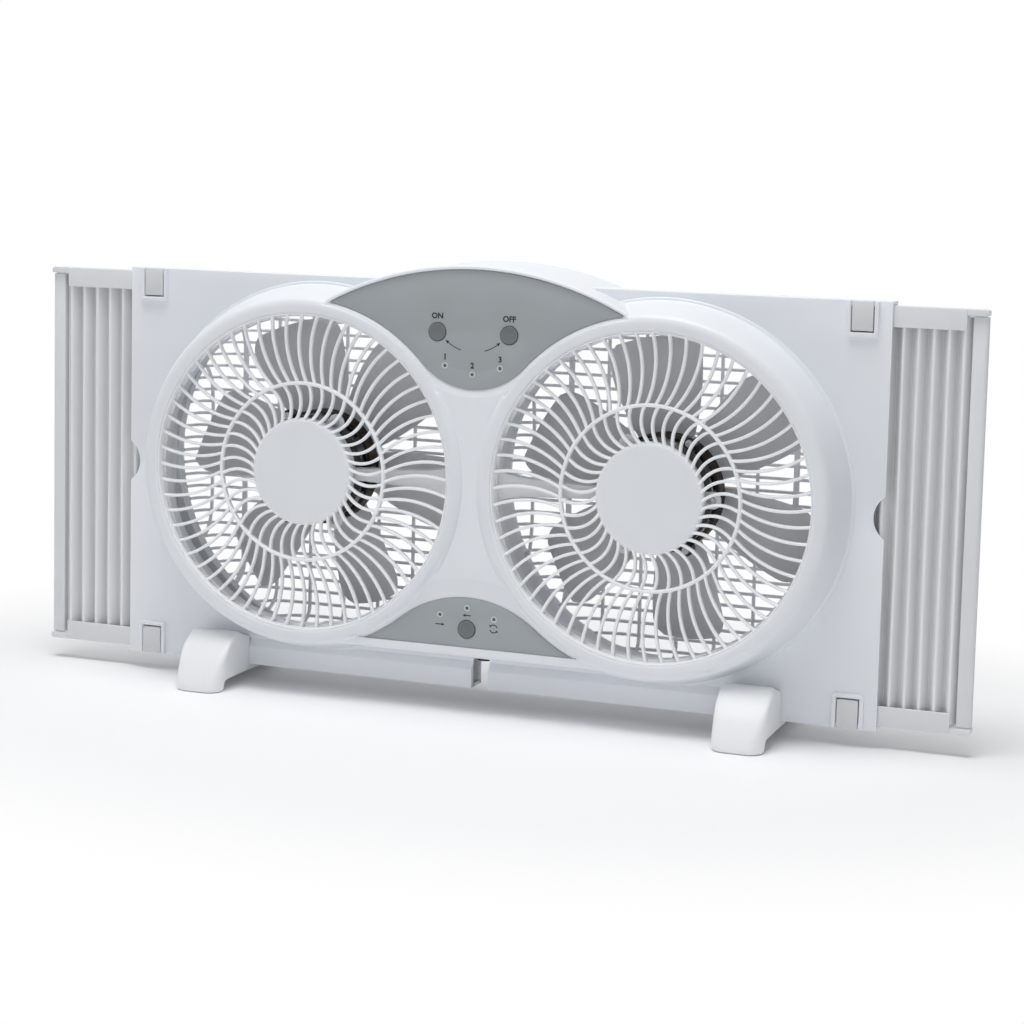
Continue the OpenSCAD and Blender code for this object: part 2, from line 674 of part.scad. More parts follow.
// Pleated curtain between the housing's anchor strip and the end stile
module curtain(side, reach) color([0.75, 0.75, 0.77]) on_side(side) on_level(1) {
  x1 = half_w + reach - stile_w;
  fold = (x1 - anchor_x) / folds / 2;
  zig = [for (k = [0 : 2 * folds]) [anchor_x + k * fold, k % 2 == 0 ? -3.4 : 2.4]];
  zag = [for (k = [0 : 2 * folds]) zig[2 * folds - k] + [0, 1]];
  translate([0, 0, 0.4 - rail_web]) linear_extrude(2 * rail_web - 0.8) polygon(concat(zig, zag));
}

// ---- Lock tabs and feet ----

module lock_tab(side, level) color([0.76, 0.77, 0.78]) on_side(side) on_level(level)
  translate([lock_x, 0, 0]) {
  sweep = [
    [-half_d + 0.8, half_h - 22], [-half_d + 0.8, half_h - 0.4], [-half_d - 1.3, half_h - 0.4],
    [-half_d - 2, half_h - 1.4], [-half_d - 2, half_h - 21], [-half_d - 1.3, half_h - 22]
  ];
  translate([-lock_w / 2 + 0.1, 0, 0]) rotate([90, 0, 90]) linear_extrude(lock_w - 0.2) polygon(sweep);
  translate([-9.6, -lock_pin_h, lock_pin_z]) rotate([0, 90, 0])
    cylinder(h = 19.2, r = lock_pin_r, $fn = 24);
}

// Saddle foot: slides up over the housing's lower edge; toes spread front and back
module foot(side) color("whitesmoke") translate([side * foot_x, 0, 0]) intersection() {
  y1 = foot_l / 2;
  side_view = [
    [y1 - 1, 0], [y1, 3], [y1 - 1, 12], [y1 - 4, 23], [y1 - 9, 33], [y1 - 15.5, 40.5], [y1 - 22, 44.2],
    [y1 - 30, 44.6], [13, 38.5], [half_d + 0.1, 38]
  ];
  rotate([90, 0, 90]) translate([0, 0, -foot_w / 2]) linear_extrude(foot_w) polygon(concat(
    [for (p = side_view) [-p[0], p[1]]],
    [[-half_d - 0.1, sill_lift], [half_d + 0.1, sill_lift]],
    [for (i = [0 : len(side_view) - 1]) side_view[len(side_view) - 1 - i]],
    [[y1 - 14, 0], [y1 - 15, 7.8], [15 - y1, 7.8], [14 - y1, 0]]
  ));
  linear_extrude(60) union() {
    square([foot_w, foot_l - 24], center = true);
    square([foot_w - 24, foot_l + 2], center = true);
    for (sx = [-1, 1]) for (sy = [-1, 1])
      translate([sx * (foot_w / 2 - 12), sy * (y1 - 12)]) circle(r = 12, $fn = 64);
  }
}

front_shell();
rear_shell();
front_grille(-1, 1);  // front_grille_left
front_grille(1, -1);  // front_grille_right
rear_grille(-1);  // rear_grille_left
rear_grille(1);  // rear_grille_right
impeller(-1, 109);  // impeller_left
impeller(1, 99);  // impeller_right
impeller_nut(-1);  // impeller_nut_left
impeller_nut(1);  // impeller_nut_right
motor_shaft(-1);  // motor_shaft_left
motor_shaft(1);  // motor_shaft_right
motor_rotor(-1);  // motor_rotor_left
motor_rotor(1);  // motor_rotor_right
motor_stator(-1);  // motor_stator_left
motor_stator(1);  // motor_stator_right
motor_windings(-1);  // motor_windings_left
motor_windings(1);  // motor_windings_right
motor_front_bell(-1);  // motor_front_bell_left
motor_front_bell(1);  // motor_front_bell_right
motor_rear_bell(-1);  // motor_rear_bell_left
motor_rear_bell(1);  // motor_rear_bell_right
motor_bushes(-1);  // motor_bushes_left
motor_bushes(1);  // motor_bushes_right
motor_bracket(-1);  // motor_bracket_left
motor_bracket(1);  // motor_bracket_right
motor_screws();
upper_panel();
lower_panel();
push_button(speed_at);  // speed_button
push_button(off_at);  // off_button
push_button(mode_at);  // mode_button
lights(speed_light_at);  // speed_lights
lights(mode_light_at);  // mode_lights
control_board();
mode_board();
push_switches();
run_capacitors();
cord_gland();
shell_screws();
rail(-1, left_reach, 1);  // top_rail_left
rail(-1, left_reach, -1);  // bottom_rail_left
end_stile(-1, left_reach);  // end_stile_left
curtain(-1, left_reach);  // curtain_left
rail(1, right_reach, 1);  // top_rail_right
rail(1, right_reach, -1);  // bottom_rail_right
end_stile(1, right_reach);  // end_stile_right
curtain(1, right_reach);  // curtain_right
lock_tab(-1, 1);  // lock_tab_top_left
lock_tab(1, 1);  // lock_tab_top_right
lock_tab(-1, -1);  // lock_tab_bottom_left
lock_tab(1, -1);  // lock_tab_bottom_right
foot(-1);  // foot_left
foot(1);  // foot_right
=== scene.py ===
# A white twin window fan: two spiral grilles, a waist of control panels,
# pleated extenders drawn out to both sides, and two clip-on feet.

import json
import math
from math import asin, atan2, cos, hypot, pi, radians, sin, sqrt

import bmesh
import bpy
import numpy as np
from mathutils import Matrix, Vector
from mathutils.geometry import delaunay_2d_cdt


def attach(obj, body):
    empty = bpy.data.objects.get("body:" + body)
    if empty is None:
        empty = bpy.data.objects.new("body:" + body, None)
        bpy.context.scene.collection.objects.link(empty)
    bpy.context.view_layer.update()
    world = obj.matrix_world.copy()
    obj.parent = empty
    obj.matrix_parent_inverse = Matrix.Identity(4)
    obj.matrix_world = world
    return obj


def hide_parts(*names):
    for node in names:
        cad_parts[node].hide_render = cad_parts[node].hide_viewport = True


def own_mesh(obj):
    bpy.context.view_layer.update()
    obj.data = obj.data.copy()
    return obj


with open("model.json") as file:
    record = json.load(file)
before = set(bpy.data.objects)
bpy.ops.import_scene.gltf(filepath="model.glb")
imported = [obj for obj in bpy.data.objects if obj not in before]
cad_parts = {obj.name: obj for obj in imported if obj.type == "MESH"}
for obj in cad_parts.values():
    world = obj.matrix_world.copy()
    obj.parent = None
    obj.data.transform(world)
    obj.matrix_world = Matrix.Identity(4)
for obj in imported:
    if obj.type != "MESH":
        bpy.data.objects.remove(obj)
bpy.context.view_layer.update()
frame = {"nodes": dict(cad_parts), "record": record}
nodes = frame["nodes"]
scene = bpy.context.scene
scene.view_settings.view_transform = "Standard"

# ---- Camera ----
# Stands to the right of the middle and a little above, with a long lens. It looks level with
# the fan's upper half, and the picture is shifted down to the feet.
camera_side = radians(20.407)
camera_lift = radians(6.228)
camera_roll = radians(1.36)
camera_distance = 1.7274
aim = Vector((0.01904, -0.0085, 0.2289))
back = Vector((
    sin(camera_side) * cos(camera_lift),
    -cos(camera_side) * cos(camera_lift),
    sin(camera_lift),
))
right = Vector((cos(camera_side), sin(camera_side), 0))
up = back.cross(right)
right_rolled = right * cos(camera_roll) + up * sin(camera_roll)
up_rolled = up * cos(camera_roll) - right * sin(camera_roll)
camera_data = bpy.data.cameras.new("view_camera")
camera_data.lens = 83.46
camera_data.sensor_width = 36
camera_data.shift_y = -0.109375
camera = bpy.data.objects.new("view_camera", camera_data)
turn = Matrix((right_rolled, up_rolled, back)).transposed().to_4x4()
camera.matrix_world = Matrix.Translation(aim + back * camera_distance) @ turn
scene.collection.objects.link(camera)
scene.camera = camera

# ---- Studio ----
# A pale table that runs to the horizon, in an even white room. A wide soft lamp hangs overhead,
# and a weak one on the left and another low in front lift the sides and the lower half.
def wired(tree, kind, feeds=None, **settings):
    """Adds a shader node; each input gets a value, or the output that feeds it."""
    node = tree.nodes.new("ShaderNode" + kind)
    for setting, value in settings.items():
        setattr(node, setting, value)
    for socket, source in (feeds or {}).items():
        if isinstance(source, bpy.types.NodeSocket):
            tree.links.new(source, node.inputs[socket])
        else:
            node.inputs[socket].default_value = source
    return node


def reckoned(tree, operation, *terms):
    """The result of a sum, product or other reckoning in a shader."""
    return wired(tree, "Math", dict(enumerate(terms)), operation=operation).outputs[0]


def in_sight(tree):
    """1 for what the camera sees, also in a mirror or through glass, and 0 for what lights the fan."""
    ray = wired(tree, "LightPath").outputs
    mirrored = reckoned(tree, "MAXIMUM", ray["Is Camera Ray"], ray["Is Glossy Ray"])
    return reckoned(tree, "MAXIMUM", mirrored, ray["Is Transmission Ray"])


def bare_material(name):
    material = bpy.data.materials.new(name)
    material.use_nodes = True
    tree = material.node_tree
    return material, tree, tree.nodes["Principled BSDF"]


table_mesh = bpy.data.meshes.new("studio_table")
table_mesh.from_pydata([(-9, -9, 0), (9, -9, 0), (9, 9, 0), (-9, 9, 0)], [], [(0, 1, 2, 3)])
table = bpy.data.objects.new("studio_table", table_mesh)
scene.collection.objects.link(table)
table_paint, paint_tree, paint = bare_material("studio_table_paint")
paint.inputs["Base Color"].default_value = (0.93, 0.93, 0.935, 1)
paint.inputs["Roughness"].default_value = 0.75
spot = wired(paint_tree, "TexCoord").outputs["Object"]
oval = wired(paint_tree, "VectorMath", {0: spot, 1: (1.9, 2.6, 0)}, operation="MULTIPLY")
from_fan = wired(paint_tree, "VectorMath", {0: oval.outputs[0]}, operation="LENGTH")
fade = wired(
    paint_tree, "MapRange", {"Value": from_fan.outputs["Value"], "From Min": 0.7, "From Max": 1.25},
    interpolation_type="SMOOTHSTEP",
)
white_share = reckoned(paint_tree, "MULTIPLY", fade.outputs["Result"], in_sight(paint_tree))
white = wired(paint_tree, "Emission", {"Color": (1, 1, 1, 1)})
table_mix = wired(paint_tree, "MixShader", {0: white_share, 1: paint.outputs[0], 2: white.outputs[0]})
paint_tree.links.new(table_mix.outputs[0], paint_tree.nodes["Material Output"].inputs["Surface"])
table_mesh.materials.append(table_paint)

room = bpy.data.worlds.new("white_room")
scene.world = room
room.use_nodes = True
room_tree = room.node_tree
room_tree.nodes.clear()
room_light = wired(room_tree, "Background", {"Color": (0.97, 0.985, 1, 1), "Strength": 0.35})
room_seen = wired(room_tree, "Background", {"Color": (1, 1, 1, 1), "Strength": 1})
room_mix = wired(
    room_tree, "MixShader", {0: in_sight(room_tree), 1: room_light.outputs[0], 2: room_seen.outputs[0]}
)
wired(room_tree, "OutputWorld", {0: room_mix.outputs[0]})

lamps_look_at = Vector((0, 0, 0.16))
for lamp_name, place, size, watts in (
    ("overhead_lamp", (-0.1, -0.4, 2.6), 1.6, 45),
    ("left_lamp", (-2.6, -0.3, 1.0), 1.4, 2),
    ("low_front_lamp", (0.45, -1.9, 0.12), 0.9, 3),
):
    lamp_data = bpy.data.lights.new(lamp_name, "AREA")
    lamp_data.shape = "DISK"
    lamp_data.size = size
    lamp_data.energy = watts
    lamp = bpy.data.objects.new(lamp_name, lamp_data)
    lamp.location = place
    lamp.rotation_euler = (lamps_look_at - lamp.location).to_track_quat("-Z", "Y").to_euler()
    lamp.visible_camera = False
    scene.collection.objects.link(lamp)

# ---- Housing, front half ----
# One moulding in white plastic: a flat face plate, two deep round bezels, a raised waist with
# an arched crown, pockets for the control panels and a sill band with a notch for the cord.
# It has a fine spark-eroded grain, edges polished by handling and a little settled dust.
def effect(name, **inputs):
    """Starts a shader node group and gives its inputs, which have the given names and values."""
    group = bpy.data.node_groups.new(name, "ShaderNodeTree")
    for title, value in inputs.items():
        socket = group.interface.new_socket(title, in_out="INPUT", socket_type="NodeSocketFloat")
        socket.default_value = value
    return group, group.nodes.new("NodeGroupInput").outputs


def put_out(group, **results):
    """Ends a shader node group; an underscore in a result's name stands for a space."""
    for title in results:
        group.interface.new_socket(title.replace("_", " "), in_out="OUTPUT", socket_type="NodeSocketFloat")
    last = group.nodes.new("NodeGroupOutput")
    for title, source in results.items():
        group.links.new(source, last.inputs[title.replace("_", " ")])


moulded_grain, given = effect("moulded_grain", Size=900, Flow=9)
place = wired(moulded_grain, "TexCoord").outputs["Object"]
specks = {"Vector": place, "Scale": given["Size"], "Detail": 3, "Roughness": 0.65}
speck = wired(moulded_grain, "TexNoise", specks)
pits = wired(moulded_grain, "TexVoronoi", {"Vector": place, "Scale": given["Size"]}, feature="SMOOTH_F1")
streaks = {"Vector": place, "Scale": given["Flow"], "Detail": 2, "Distortion": 0.6}
flow = wired(moulded_grain, "TexNoise", streaks)
relief = reckoned(moulded_grain, "MULTIPLY_ADD", pits.outputs["Distance"], 0.5, speck.outputs["Fac"])
put_out(moulded_grain, Height=relief, Flow_Marks=flow.outputs["Fac"])

handled_edges, given = effect("handled_edges", Width=0.06)
sharp = wired(handled_edges, "NewGeometry").outputs["Pointiness"]
sharpest = reckoned(handled_edges, "ADD", 0.5, given["Width"])
edge = wired(handled_edges, "MapRange", {"Value": sharp, "From Min": 0.5, "From Max": sharpest})
put_out(handled_edges, Edge=edge.outputs["Result"])

settled_dust, given = effect("settled_dust", Amount=0.1)
lie = wired(settled_dust, "SeparateXYZ", {0: wired(settled_dust, "NewGeometry").outputs["Normal"]})
upward = wired(settled_dust, "MapRange", {"Value": lie.outputs["Z"], "From Min": 0.3, "From Max": 1.0})
place = wired(settled_dust, "TexCoord").outputs["Object"]
fluff = wired(settled_dust, "TexNoise", {"Vector": place, "Scale": 160, "Detail": 5})
thickness = reckoned(settled_dust, "MULTIPLY", upward.outputs["Result"], fluff.outputs["Fac"])
put_out(settled_dust, Dust=reckoned(settled_dust, "MULTIPLY", thickness, given["Amount"]))


def tinted(tree, share, under, over):
    """A colour that goes from one to another as a share rises from 0 to 1."""
    return wired(tree, "Mix", {"Factor": share, "A": under, "B": over}, data_type="RGBA").outputs["Result"]


def surfaced(tree, shader, colour, grains, glossiest, dullest, strength, depth):
    """Gives a shader its colour, a gloss that drifts with the flow marks, and the grain's relief."""
    gloss = {"Value": grains.outputs["Flow Marks"], "To Min": glossiest, "To Max": dullest}
    bump = {"Strength": strength, "Distance": depth, "Height": grains.outputs["Height"]}
    tree.links.new(colour, shader.inputs["Base Color"])
    tree.links.new(wired(tree, "MapRange", gloss).outputs["Result"], shader.inputs["Roughness"])
    tree.links.new(wired(tree, "Bump", bump).outputs["Normal"], shader.inputs["Normal"])


def plastic(name, colour, rough=0.42, grain=900, depth=0.00004, worn=0.35, dust=0.12, variation=0.05):
    """A moulded plastic that drifts in colour, lightens on handled edges and dulls under dust."""
    material, tree, shader = bare_material(name)
    shader.inputs["IOR"].default_value = 1.47
    grains = wired(tree, "Group", {"Size": grain}, node_tree=moulded_grain)
    edges = wired(tree, "Group", node_tree=handled_edges)
    dusty = wired(tree, "Group", {"Amount": dust}, node_tree=settled_dust)
    darker = (*[c * (1 - variation) for c in colour], 1)
    lighter = (*[min(1, c * (1 + variation)) for c in colour], 1)
    polished = (*[min(1, c * 1.12 + 0.02) for c in colour], 1)
    tone = tinted(tree, grains.outputs["Flow Marks"], darker, lighter)
    tone = tinted(tree, reckoned(tree, "MULTIPLY", edges.outputs["Edge"], worn), tone, polished)
    tone = tinted(tree, dusty.outputs["Dust"], tone, (0.62, 0.61, 0.59, 1))
    surfaced(tree, shader, tone, grains, rough - 0.05, rough + 0.07, 0.5, depth)
    return material


housing_white = plastic("housing_white", (0.80, 0.825, 0.865), rough=0.4)

MID_HEIGHT = 163.0
FAN_X, FAN_RISE = 134.6, 6.0
DUCT_RADIUS, BEZEL_RADIUS = 115.2, 138.0
HALF_WIDTH, HALF_HEIGHT = 295.5, 150.0
PLATE_BACK, PLATE_FACE = 6.1, 8.5
CROWN_Z, NOSE_Z, DOME_Z = -81, 127.6, -158.3
WAIST, WAIST_BASE = 41.5, -120
POCKET_FLOOR, POCKET_BASE = 39.85, -113.2
CORD_NOTCH = 6.5
KEY_HOLE_RADIUS, POCKET_WALL = 6.9, 2.2
LOCK_X, LOCK_Z = 275, 126


def forward(x, z, h):
    """A point given across, above mid-height and in front of the middle plane, all in millimetres."""
    return (x / 1000, -h / 1000, (MID_HEIGHT + z) / 1000)


def crosswise(put):
    """Lets a profile of (height off the middle plane, height) be drawn out across the housing."""
    return lambda h, z, x: put(x, z, h)


def in_corner(side, level):
    """Places a piece of the upper right corner in any of the four corners."""
    return lambda x, z, h: forward(side * x, level * z, h)


def arc(cx, cz, radius, start, stop, count):
    """Points on a circle from start to stop degrees, both ends included."""
    turns = [radians(start + (stop - start) * i / (count - 1)) for i in range(count)]
    return [(cx + radius * cos(a), cz + radius * sin(a)) for a in turns]


def circle_loop(cx, cz, radius, count=64):
    turns = [2 * pi * i / count for i in range(count)]
    return [(cx + radius * cos(a), cz + radius * sin(a)) for a in turns]


def mirrored(path):
    """The same path on the left, the other way round."""
    return [(-x, z) for x, z in path[::-1]]


def signed_area(loop):
    return sum(a[0] * b[1] - b[0] * a[1] for a, b in zip(loop, loop[1:] + loop[:1])) / 2


def inset(loop, distance):
    """Moves a loop into its material, which lies on the left of its direction."""
    moved = []
    for before, here, after in zip(loop[-1:] + loop[:-1], loop, loop[1:] + loop[:1]):
        first = Vector((before[1] - here[1], here[0] - before[0])).normalized()
        second = Vector((here[1] - after[1], after[0] - here[0])).normalized()
        shift = (first + second) / max(0.25, 1 + first.dot(second)) * distance
        moved.append((here[0] + shift.x, here[1] + shift.y))
    return moved


def filled(loops):
    """Triangles that fill the area between loops, as numbers in the loops laid end to end."""
    corners = [Vector(p) for loop in loops for p in loop]
    edges = []
    for loop in loops:
        start = len(edges)
        edges += [(start + i, start + (i + 1) % len(loop)) for i in range(len(loop))]
    spots, _, triangles, origins, _, _ = delaunay_2d_cdt(corners, edges, [], 0, 1e-7)
    x0, z0, x1, z1 = np.array([[*corners[a], *corners[b]] for a, b in edges]).T
    kept = []
    for triangle in triangles:
        cx, cz = sum((spots[i] for i in triangle), Vector((0, 0))) / 3
        level = (z0 > cz) != (z1 > cz)
        crossing = x0[level] + (cz - z0[level]) / (z1[level] - z0[level]) * (x1[level] - x0[level])
        if np.count_nonzero(crossing > cx) % 2:
            kept.append([origins[i][0] for i in triangle])
    return kept


def numbered(triangles, numbers):
    return [[numbers[i] for i in triangle] for triangle in triangles]


def band(first, second, count):
    """Four-sided faces between two rings of points that start at the given numbers."""
    steps = [(i, (i + 1) % count) for i in range(count)]
    return [(first + i, first + after, second + after, second + i) for i, after in steps]


def bands(start, rings, count):
    """The faces between rings of points that follow one another."""
    firsts = [start + ring * count for ring in range(rings)]
    return [face for low, high in zip(firsts, firsts[1:]) for face in band(low, high, count)]


def rod_faces(rings, count):
    """The faces of a rod made of rings of points, with both its ends closed."""
    ends = [list(range(count))[::-1], [(rings - 1) * count + i for i in range(count)]]
    return bands(0, rings, count) + ends


def joined(*shapes):
    """Puts several point and face lists into one."""
    points, faces = [], []
    for more_points, more_faces in shapes:
        start = len(points)
        points += more_points
        faces += [[start + i for i in face] for face in more_faces]
    return points, faces


def slab(loops, low, high, rounding, put):
    """A flat solid with holes and rounded edges; the first loop is the outside."""
    loops = [loop if (signed_area(loop) > 0) == (i == 0) else loop[::-1] for i, loop in enumerate(loops)]
    rows = [(rounding, low), (rounding * 0.3, low + rounding * 0.3), (0, low + rounding)]
    rows += [(0, high - rounding), (rounding * 0.3, high - rounding * 0.3), (rounding, high)]
    size = sum(len(loop) for loop in loops)
    points = []
    for depth, level in rows:
        points += [put(x, z, level) for loop in loops for x, z in inset(loop, depth)]
    faces = []
    for row in range(len(rows) - 1):
        start = 0
        for loop in loops:
            faces += band(row * size + start, (row + 1) * size + start, len(loop))
            start += len(loop)
    flat = filled([inset(loop, rounding) for loop in loops])
    for row in (0, len(rows) - 1):
        faces += numbered(flat, range(row * size, (row + 1) * size))
    return points, faces


def turned(profile, cx, cz, put, sides=240, closed=False):
    """Turns a profile of (radius, height) about an axis that runs forward."""
    points = []
    for i in range(sides):
        a = 2 * pi * i / sides
        points += [put(cx + r * cos(a), cz + r * sin(a), h) for r, h in profile]
    n = len(profile)
    faces = []
    for i in range(sides):
        here, there = i * n, (i + 1) % sides * n
        for j in range(n if closed else n - 1):
            faces.append((here + j, here + (j + 1) % n, there + (j + 1) % n, there + j))
    return points, faces


def run_of(path):
    """Each point of a path, with the direction that the path has there."""
    for i, here in enumerate(path):
        before, after = path[max(0, i - 1)], path[min(len(path) - 1, i + 1)]
        yield here, Vector((after[0] - before[0], after[1] - before[1])).normalized()


def drawn_along(path, section, cx, cz, level, put):
    """A bar with the given section along a flat path."""
    points = [
        put(cx + here[0] - run.y * u, cz + here[1] + run.x * u, level + v)
        for here, run in run_of(path) for u, v in section
    ]
    return points, rod_faces(len(path), len(section))


def eased(points, steps):
    """A smooth line through the given points."""
    line = []
    for i, (a, b) in enumerate(zip(points, points[1:])):
        before, after = points[max(0, i - 1)], points[min(len(points) - 1, i + 2)]
        for k in range(steps):
            t = k / steps
            line.append(tuple(
                0.5 * (2 * q + (r - p) * t + (2 * p - 5 * q + 4 * r - s) * t * t
                       + (3 * q - 3 * r + s - p) * t ** 3)
                for p, q, r, s in zip(before, a, b, after)))
    return line + [tuple(points[-1])]


def moulding(name, shape, finish, slot, *stands_for, body="housing", crease=32):
    """Makes a named piece from points and faces, shaded sharp only where these meet at a real edge."""
    mesh = bpy.data.meshes.new(name)
    mesh.from_pydata(shape[0], [], shape[1])
    work = bmesh.new()
    work.from_mesh(mesh)
    bmesh.ops.remove_doubles(work, verts=work.verts, dist=2e-6)
    bmesh.ops.dissolve_degenerate(work, edges=work.edges, dist=1e-6)
    bmesh.ops.recalc_face_normals(work, faces=work.faces)
    work.to_mesh(mesh)
    work.free()
    mesh.shade_smooth()
    mesh.set_sharp_from_angle(angle=radians(crease))
    mesh.materials.append(finish)
    made = bpy.data.objects.new(name, mesh)
    scene.collection.objects.link(made)
    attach(made, body)
    if stands_for:
        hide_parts(*stands_for)
    return made


def meets_fan(z, radius, fan_radius, upper=True):
    """Where a circle about (0, z) crosses one about the right fan: its upper or its lower point."""
    rise = FAN_RISE - z
    gap = hypot(FAN_X, rise)
    along = (gap * gap + radius * radius - fan_radius * fan_radius) / (2 * gap)
    off = sqrt(max(0, radius * radius - along * along))
    ux, uz = FAN_X / gap, rise / gap
    both = [(along * ux - s * off * uz, z + along * uz + s * off * ux) for s in (-1, 1)]
    return (max if upper else min)(both, key=lambda p: p[1])


def direction(cx, cz, point):
    return math.degrees(atan2(point[1] - cz, point[0] - cx))


def round_the_fan(fan_radius, low, high, count):
    """The arc about the right fan, on its inner side, from a lower to a higher point."""
    start, stop = (direction(FAN_X, FAN_RISE, point) % 360 for point in (low, high))
    return arc(FAN_X, FAN_RISE, fan_radius, start, stop, count)


def upper_outline(crown_radius, fan_radius, nose_radius):
    """Outline of the upper panel or pocket: crown arc, arcs round both fans, and the nose below."""
    tip = meets_fan(CROWN_Z, crown_radius, fan_radius)
    chin = meets_fan(NOSE_Z, nose_radius, fan_radius, upper=False)
    turn, chin_turn = direction(0, CROWN_Z, tip), direction(0, NOSE_Z, chin)
    crown = arc(0, CROWN_Z, crown_radius, turn, 180 - turn, 121)
    nose = arc(0, NOSE_Z, nose_radius, -180 - chin_turn, chin_turn, 61)
    rise = round_the_fan(fan_radius, chin, tip, 61)
    return crown[:-1] + mirrored(rise)[:-1] + nose[:-1] + rise[:-1]


def domed_outline(dome_z, dome_radius, fan_radius, base, dome_count, side_count, base_count):
    """Outline of the lower panel, or of the whole waist: a dome, arcs round both fans and a base."""
    shoulder = meets_fan(dome_z, dome_radius, fan_radius)
    foot_x = FAN_X - sqrt(max(0.01, fan_radius ** 2 - (base - FAN_RISE) ** 2))
    turn = direction(0, dome_z, shoulder)
    dome = arc(0, dome_z, dome_radius, turn, 180 - turn, dome_count)
    side = round_the_fan(fan_radius, (foot_x, base), shoulder, side_count)
    floor = [(-foot_x + 2 * foot_x * i / (base_count - 1), base) for i in range(base_count)]
    return dome[:-1] + mirrored(side)[:-1] + floor[:-1] + side[:-1]


def lower_outline(dome_radius, fan_radius, base):
    return domed_outline(DOME_Z, dome_radius, fan_radius, base, 81, 41, 41)


# Section of a bezel, from the duct's middle plane up over the lip and down the flank.
LIP, LEDGE = 44.5, 36.5
inner = [(3.6, LEDGE - 1.5), (2.4, 27.6), (1.9, 27.0), (0.5, 27.0), (0, 27.5), (0, LEDGE - 0.6)]
inner += [(0.5, LEDGE), (2.8, LEDGE), (2.8, LIP - 1.3), (3.1, LIP - 0.55), (3.9, LIP - 0.1)]
shoulder = [(-14.4, LIP - 0.1), (-12.2, LIP - 0.6), (-10, LIP - 1.8), (-8.3, LIP - 4.0)]
shoulder += [(-7.0, LIP - 7.4), (-4.0, 26.5), (-1.3, 14.5), (-0.5, 10.6)]
shoulder = [(DUCT_RADIUS + 5.2, LIP)] + [(BEZEL_RADIUS + r, h) for r, h in shoulder]
root = [(BEZEL_RADIUS + r, h) for r, h in ((0, 9.9), (1.5, 9.7), (1.9, 9.3), (2.1, 8.4))]
bezel_section = [(DUCT_RADIUS + r, h) for r, h in inner] + eased(shoulder, 10) + root


def pocket_cut(x, z, h):
    """Where a pocket bites into a bezel's flank, the radius of its wall round that fan."""
    if h < POCKET_FLOOR - 3:
        return None
    flare = max(0, min((h - POCKET_FLOOR) / 1.3, 1.27 + (h - WAIST) / 3.5))
    crown_gap = 242.2 + 0.5 * flare - hypot(x, z - CROWN_Z)
    nose_gap = max(z - 92.3, 52.8 + 5 * flare - hypot(x, z - NOSE_Z))
    if crown_gap > 0 and nose_gap > 0:
        return 128.45 - 1.4 * flare
    dome_gap = max(-95.1 - z, 81.9 + 13.6 * flare - hypot(x, z - DOME_Z))
    if dome_gap > 0 and z > POCKET_BASE:
        return 130.35 - 3 * flare
    return None


def bezel(side):
    """One front bezel, trimmed back to the wall of each pocket that bites into it."""
    cx = side * FAN_X
    whole, faces = turned(bezel_section, cx, FAN_RISE, forward, 480)
    trimmed = []
    for x, y, z in whole:
        px, pz, h = x * 1000, z * 1000 - MID_HEIGHT, -y * 1000
        reach = hypot(px - cx, pz - FAN_RISE)
        limit = pocket_cut(px, pz, h)
        if limit and reach > limit:
            px = cx + (px - cx) * limit / reach
            pz = FAN_RISE + (pz - FAN_RISE) * limit / reach
        trimmed.append(forward(px, pz, h))
    return trimmed, faces


def sunk(points, faces, rings, put):
    """Adds a wall made of level rings, and gives the number of its first and of its last ring."""
    start, size = len(points), len(rings[0][0])
    points += [put(x, z, level) for loop, level in rings for x, z in loop]
    faces += bands(start, len(rings), size)
    return start, start + (len(rings) - 1) * size


def waist(top, hidden, put, pockets):
    """The raised field between the bezels, with its rounded crown, and sloped pockets sunk into it."""
    rounding = [(243.0, 2, 0.03), (245.3, 0.1, top - 3.4), (245.4, 0, top - 2.6), (245.2, 0.25, top - 1.5)]
    rounding += [(244.8, 0.9, top - 0.65), (244.3, 1.9, top - 0.15), (243.7, 3, top)]
    outer = [
        (domed_outline(CROWN_Z, radius, hidden, WAIST_BASE + rise, 161, 121, 61), level)
        for radius, rise, level in rounding
    ]
    points, faces = [], []
    edge = outer[-1][0]
    _, last = sunk(points, faces, outer, put)
    top_loops, numbers = [edge], [*range(last, last + len(edge))]
    for rings, key_holes in pockets:
        (rim, _), (floor, level) = rings[0], rings[-1]
        start, last = sunk(points, faces, rings, put)
        top_loops.append(rim)
        numbers += range(start, start + len(rim))
        holes = [circle_loop(x, z, KEY_HOLE_RADIUS) for x, z in key_holes]
        floor_numbers = [*range(last, last + len(floor))]
        for hole in holes:
            start, _ = sunk(points, faces, [(hole, level), (hole, level - POCKET_WALL)], put)
            floor_numbers += range(start, start + len(hole))
        faces += numbered(filled([floor] + holes), floor_numbers)
    return points, faces + numbered(filled(top_loops), numbers)


def edge_walls(put):
    """The narrow walls along the upper and lower edges, open at the notch for the cord."""
    bars = []
    end = HALF_WIDTH - 0.05
    for low, high, start, stop in (
        (147.6, 149.96, -end, end),
        (-149.96, -147.6, -end, -CORD_NOTCH),
        (-149.96, -147.6, CORD_NOTCH, end),
    ):
        section = [(0.02, low), (8.2, low), (8.2, high), (0.02, high)]
        bars.append(slab([section], start, stop, 0.2, crosswise(put)))
    return joined(*bars)


def sill_band(start, stop):
    """The thicker band along the lower edge, with a sloped top and soft corners."""
    section = [(7, -149.9), (11.9, -149.9), (12.5, -149.3), (12.5, -136.2)]
    section += [(12.2, -135.3), (8.6, -130.2), (7, -129.9)]
    return slab([section], start, stop, 0.25, crosswise(forward))


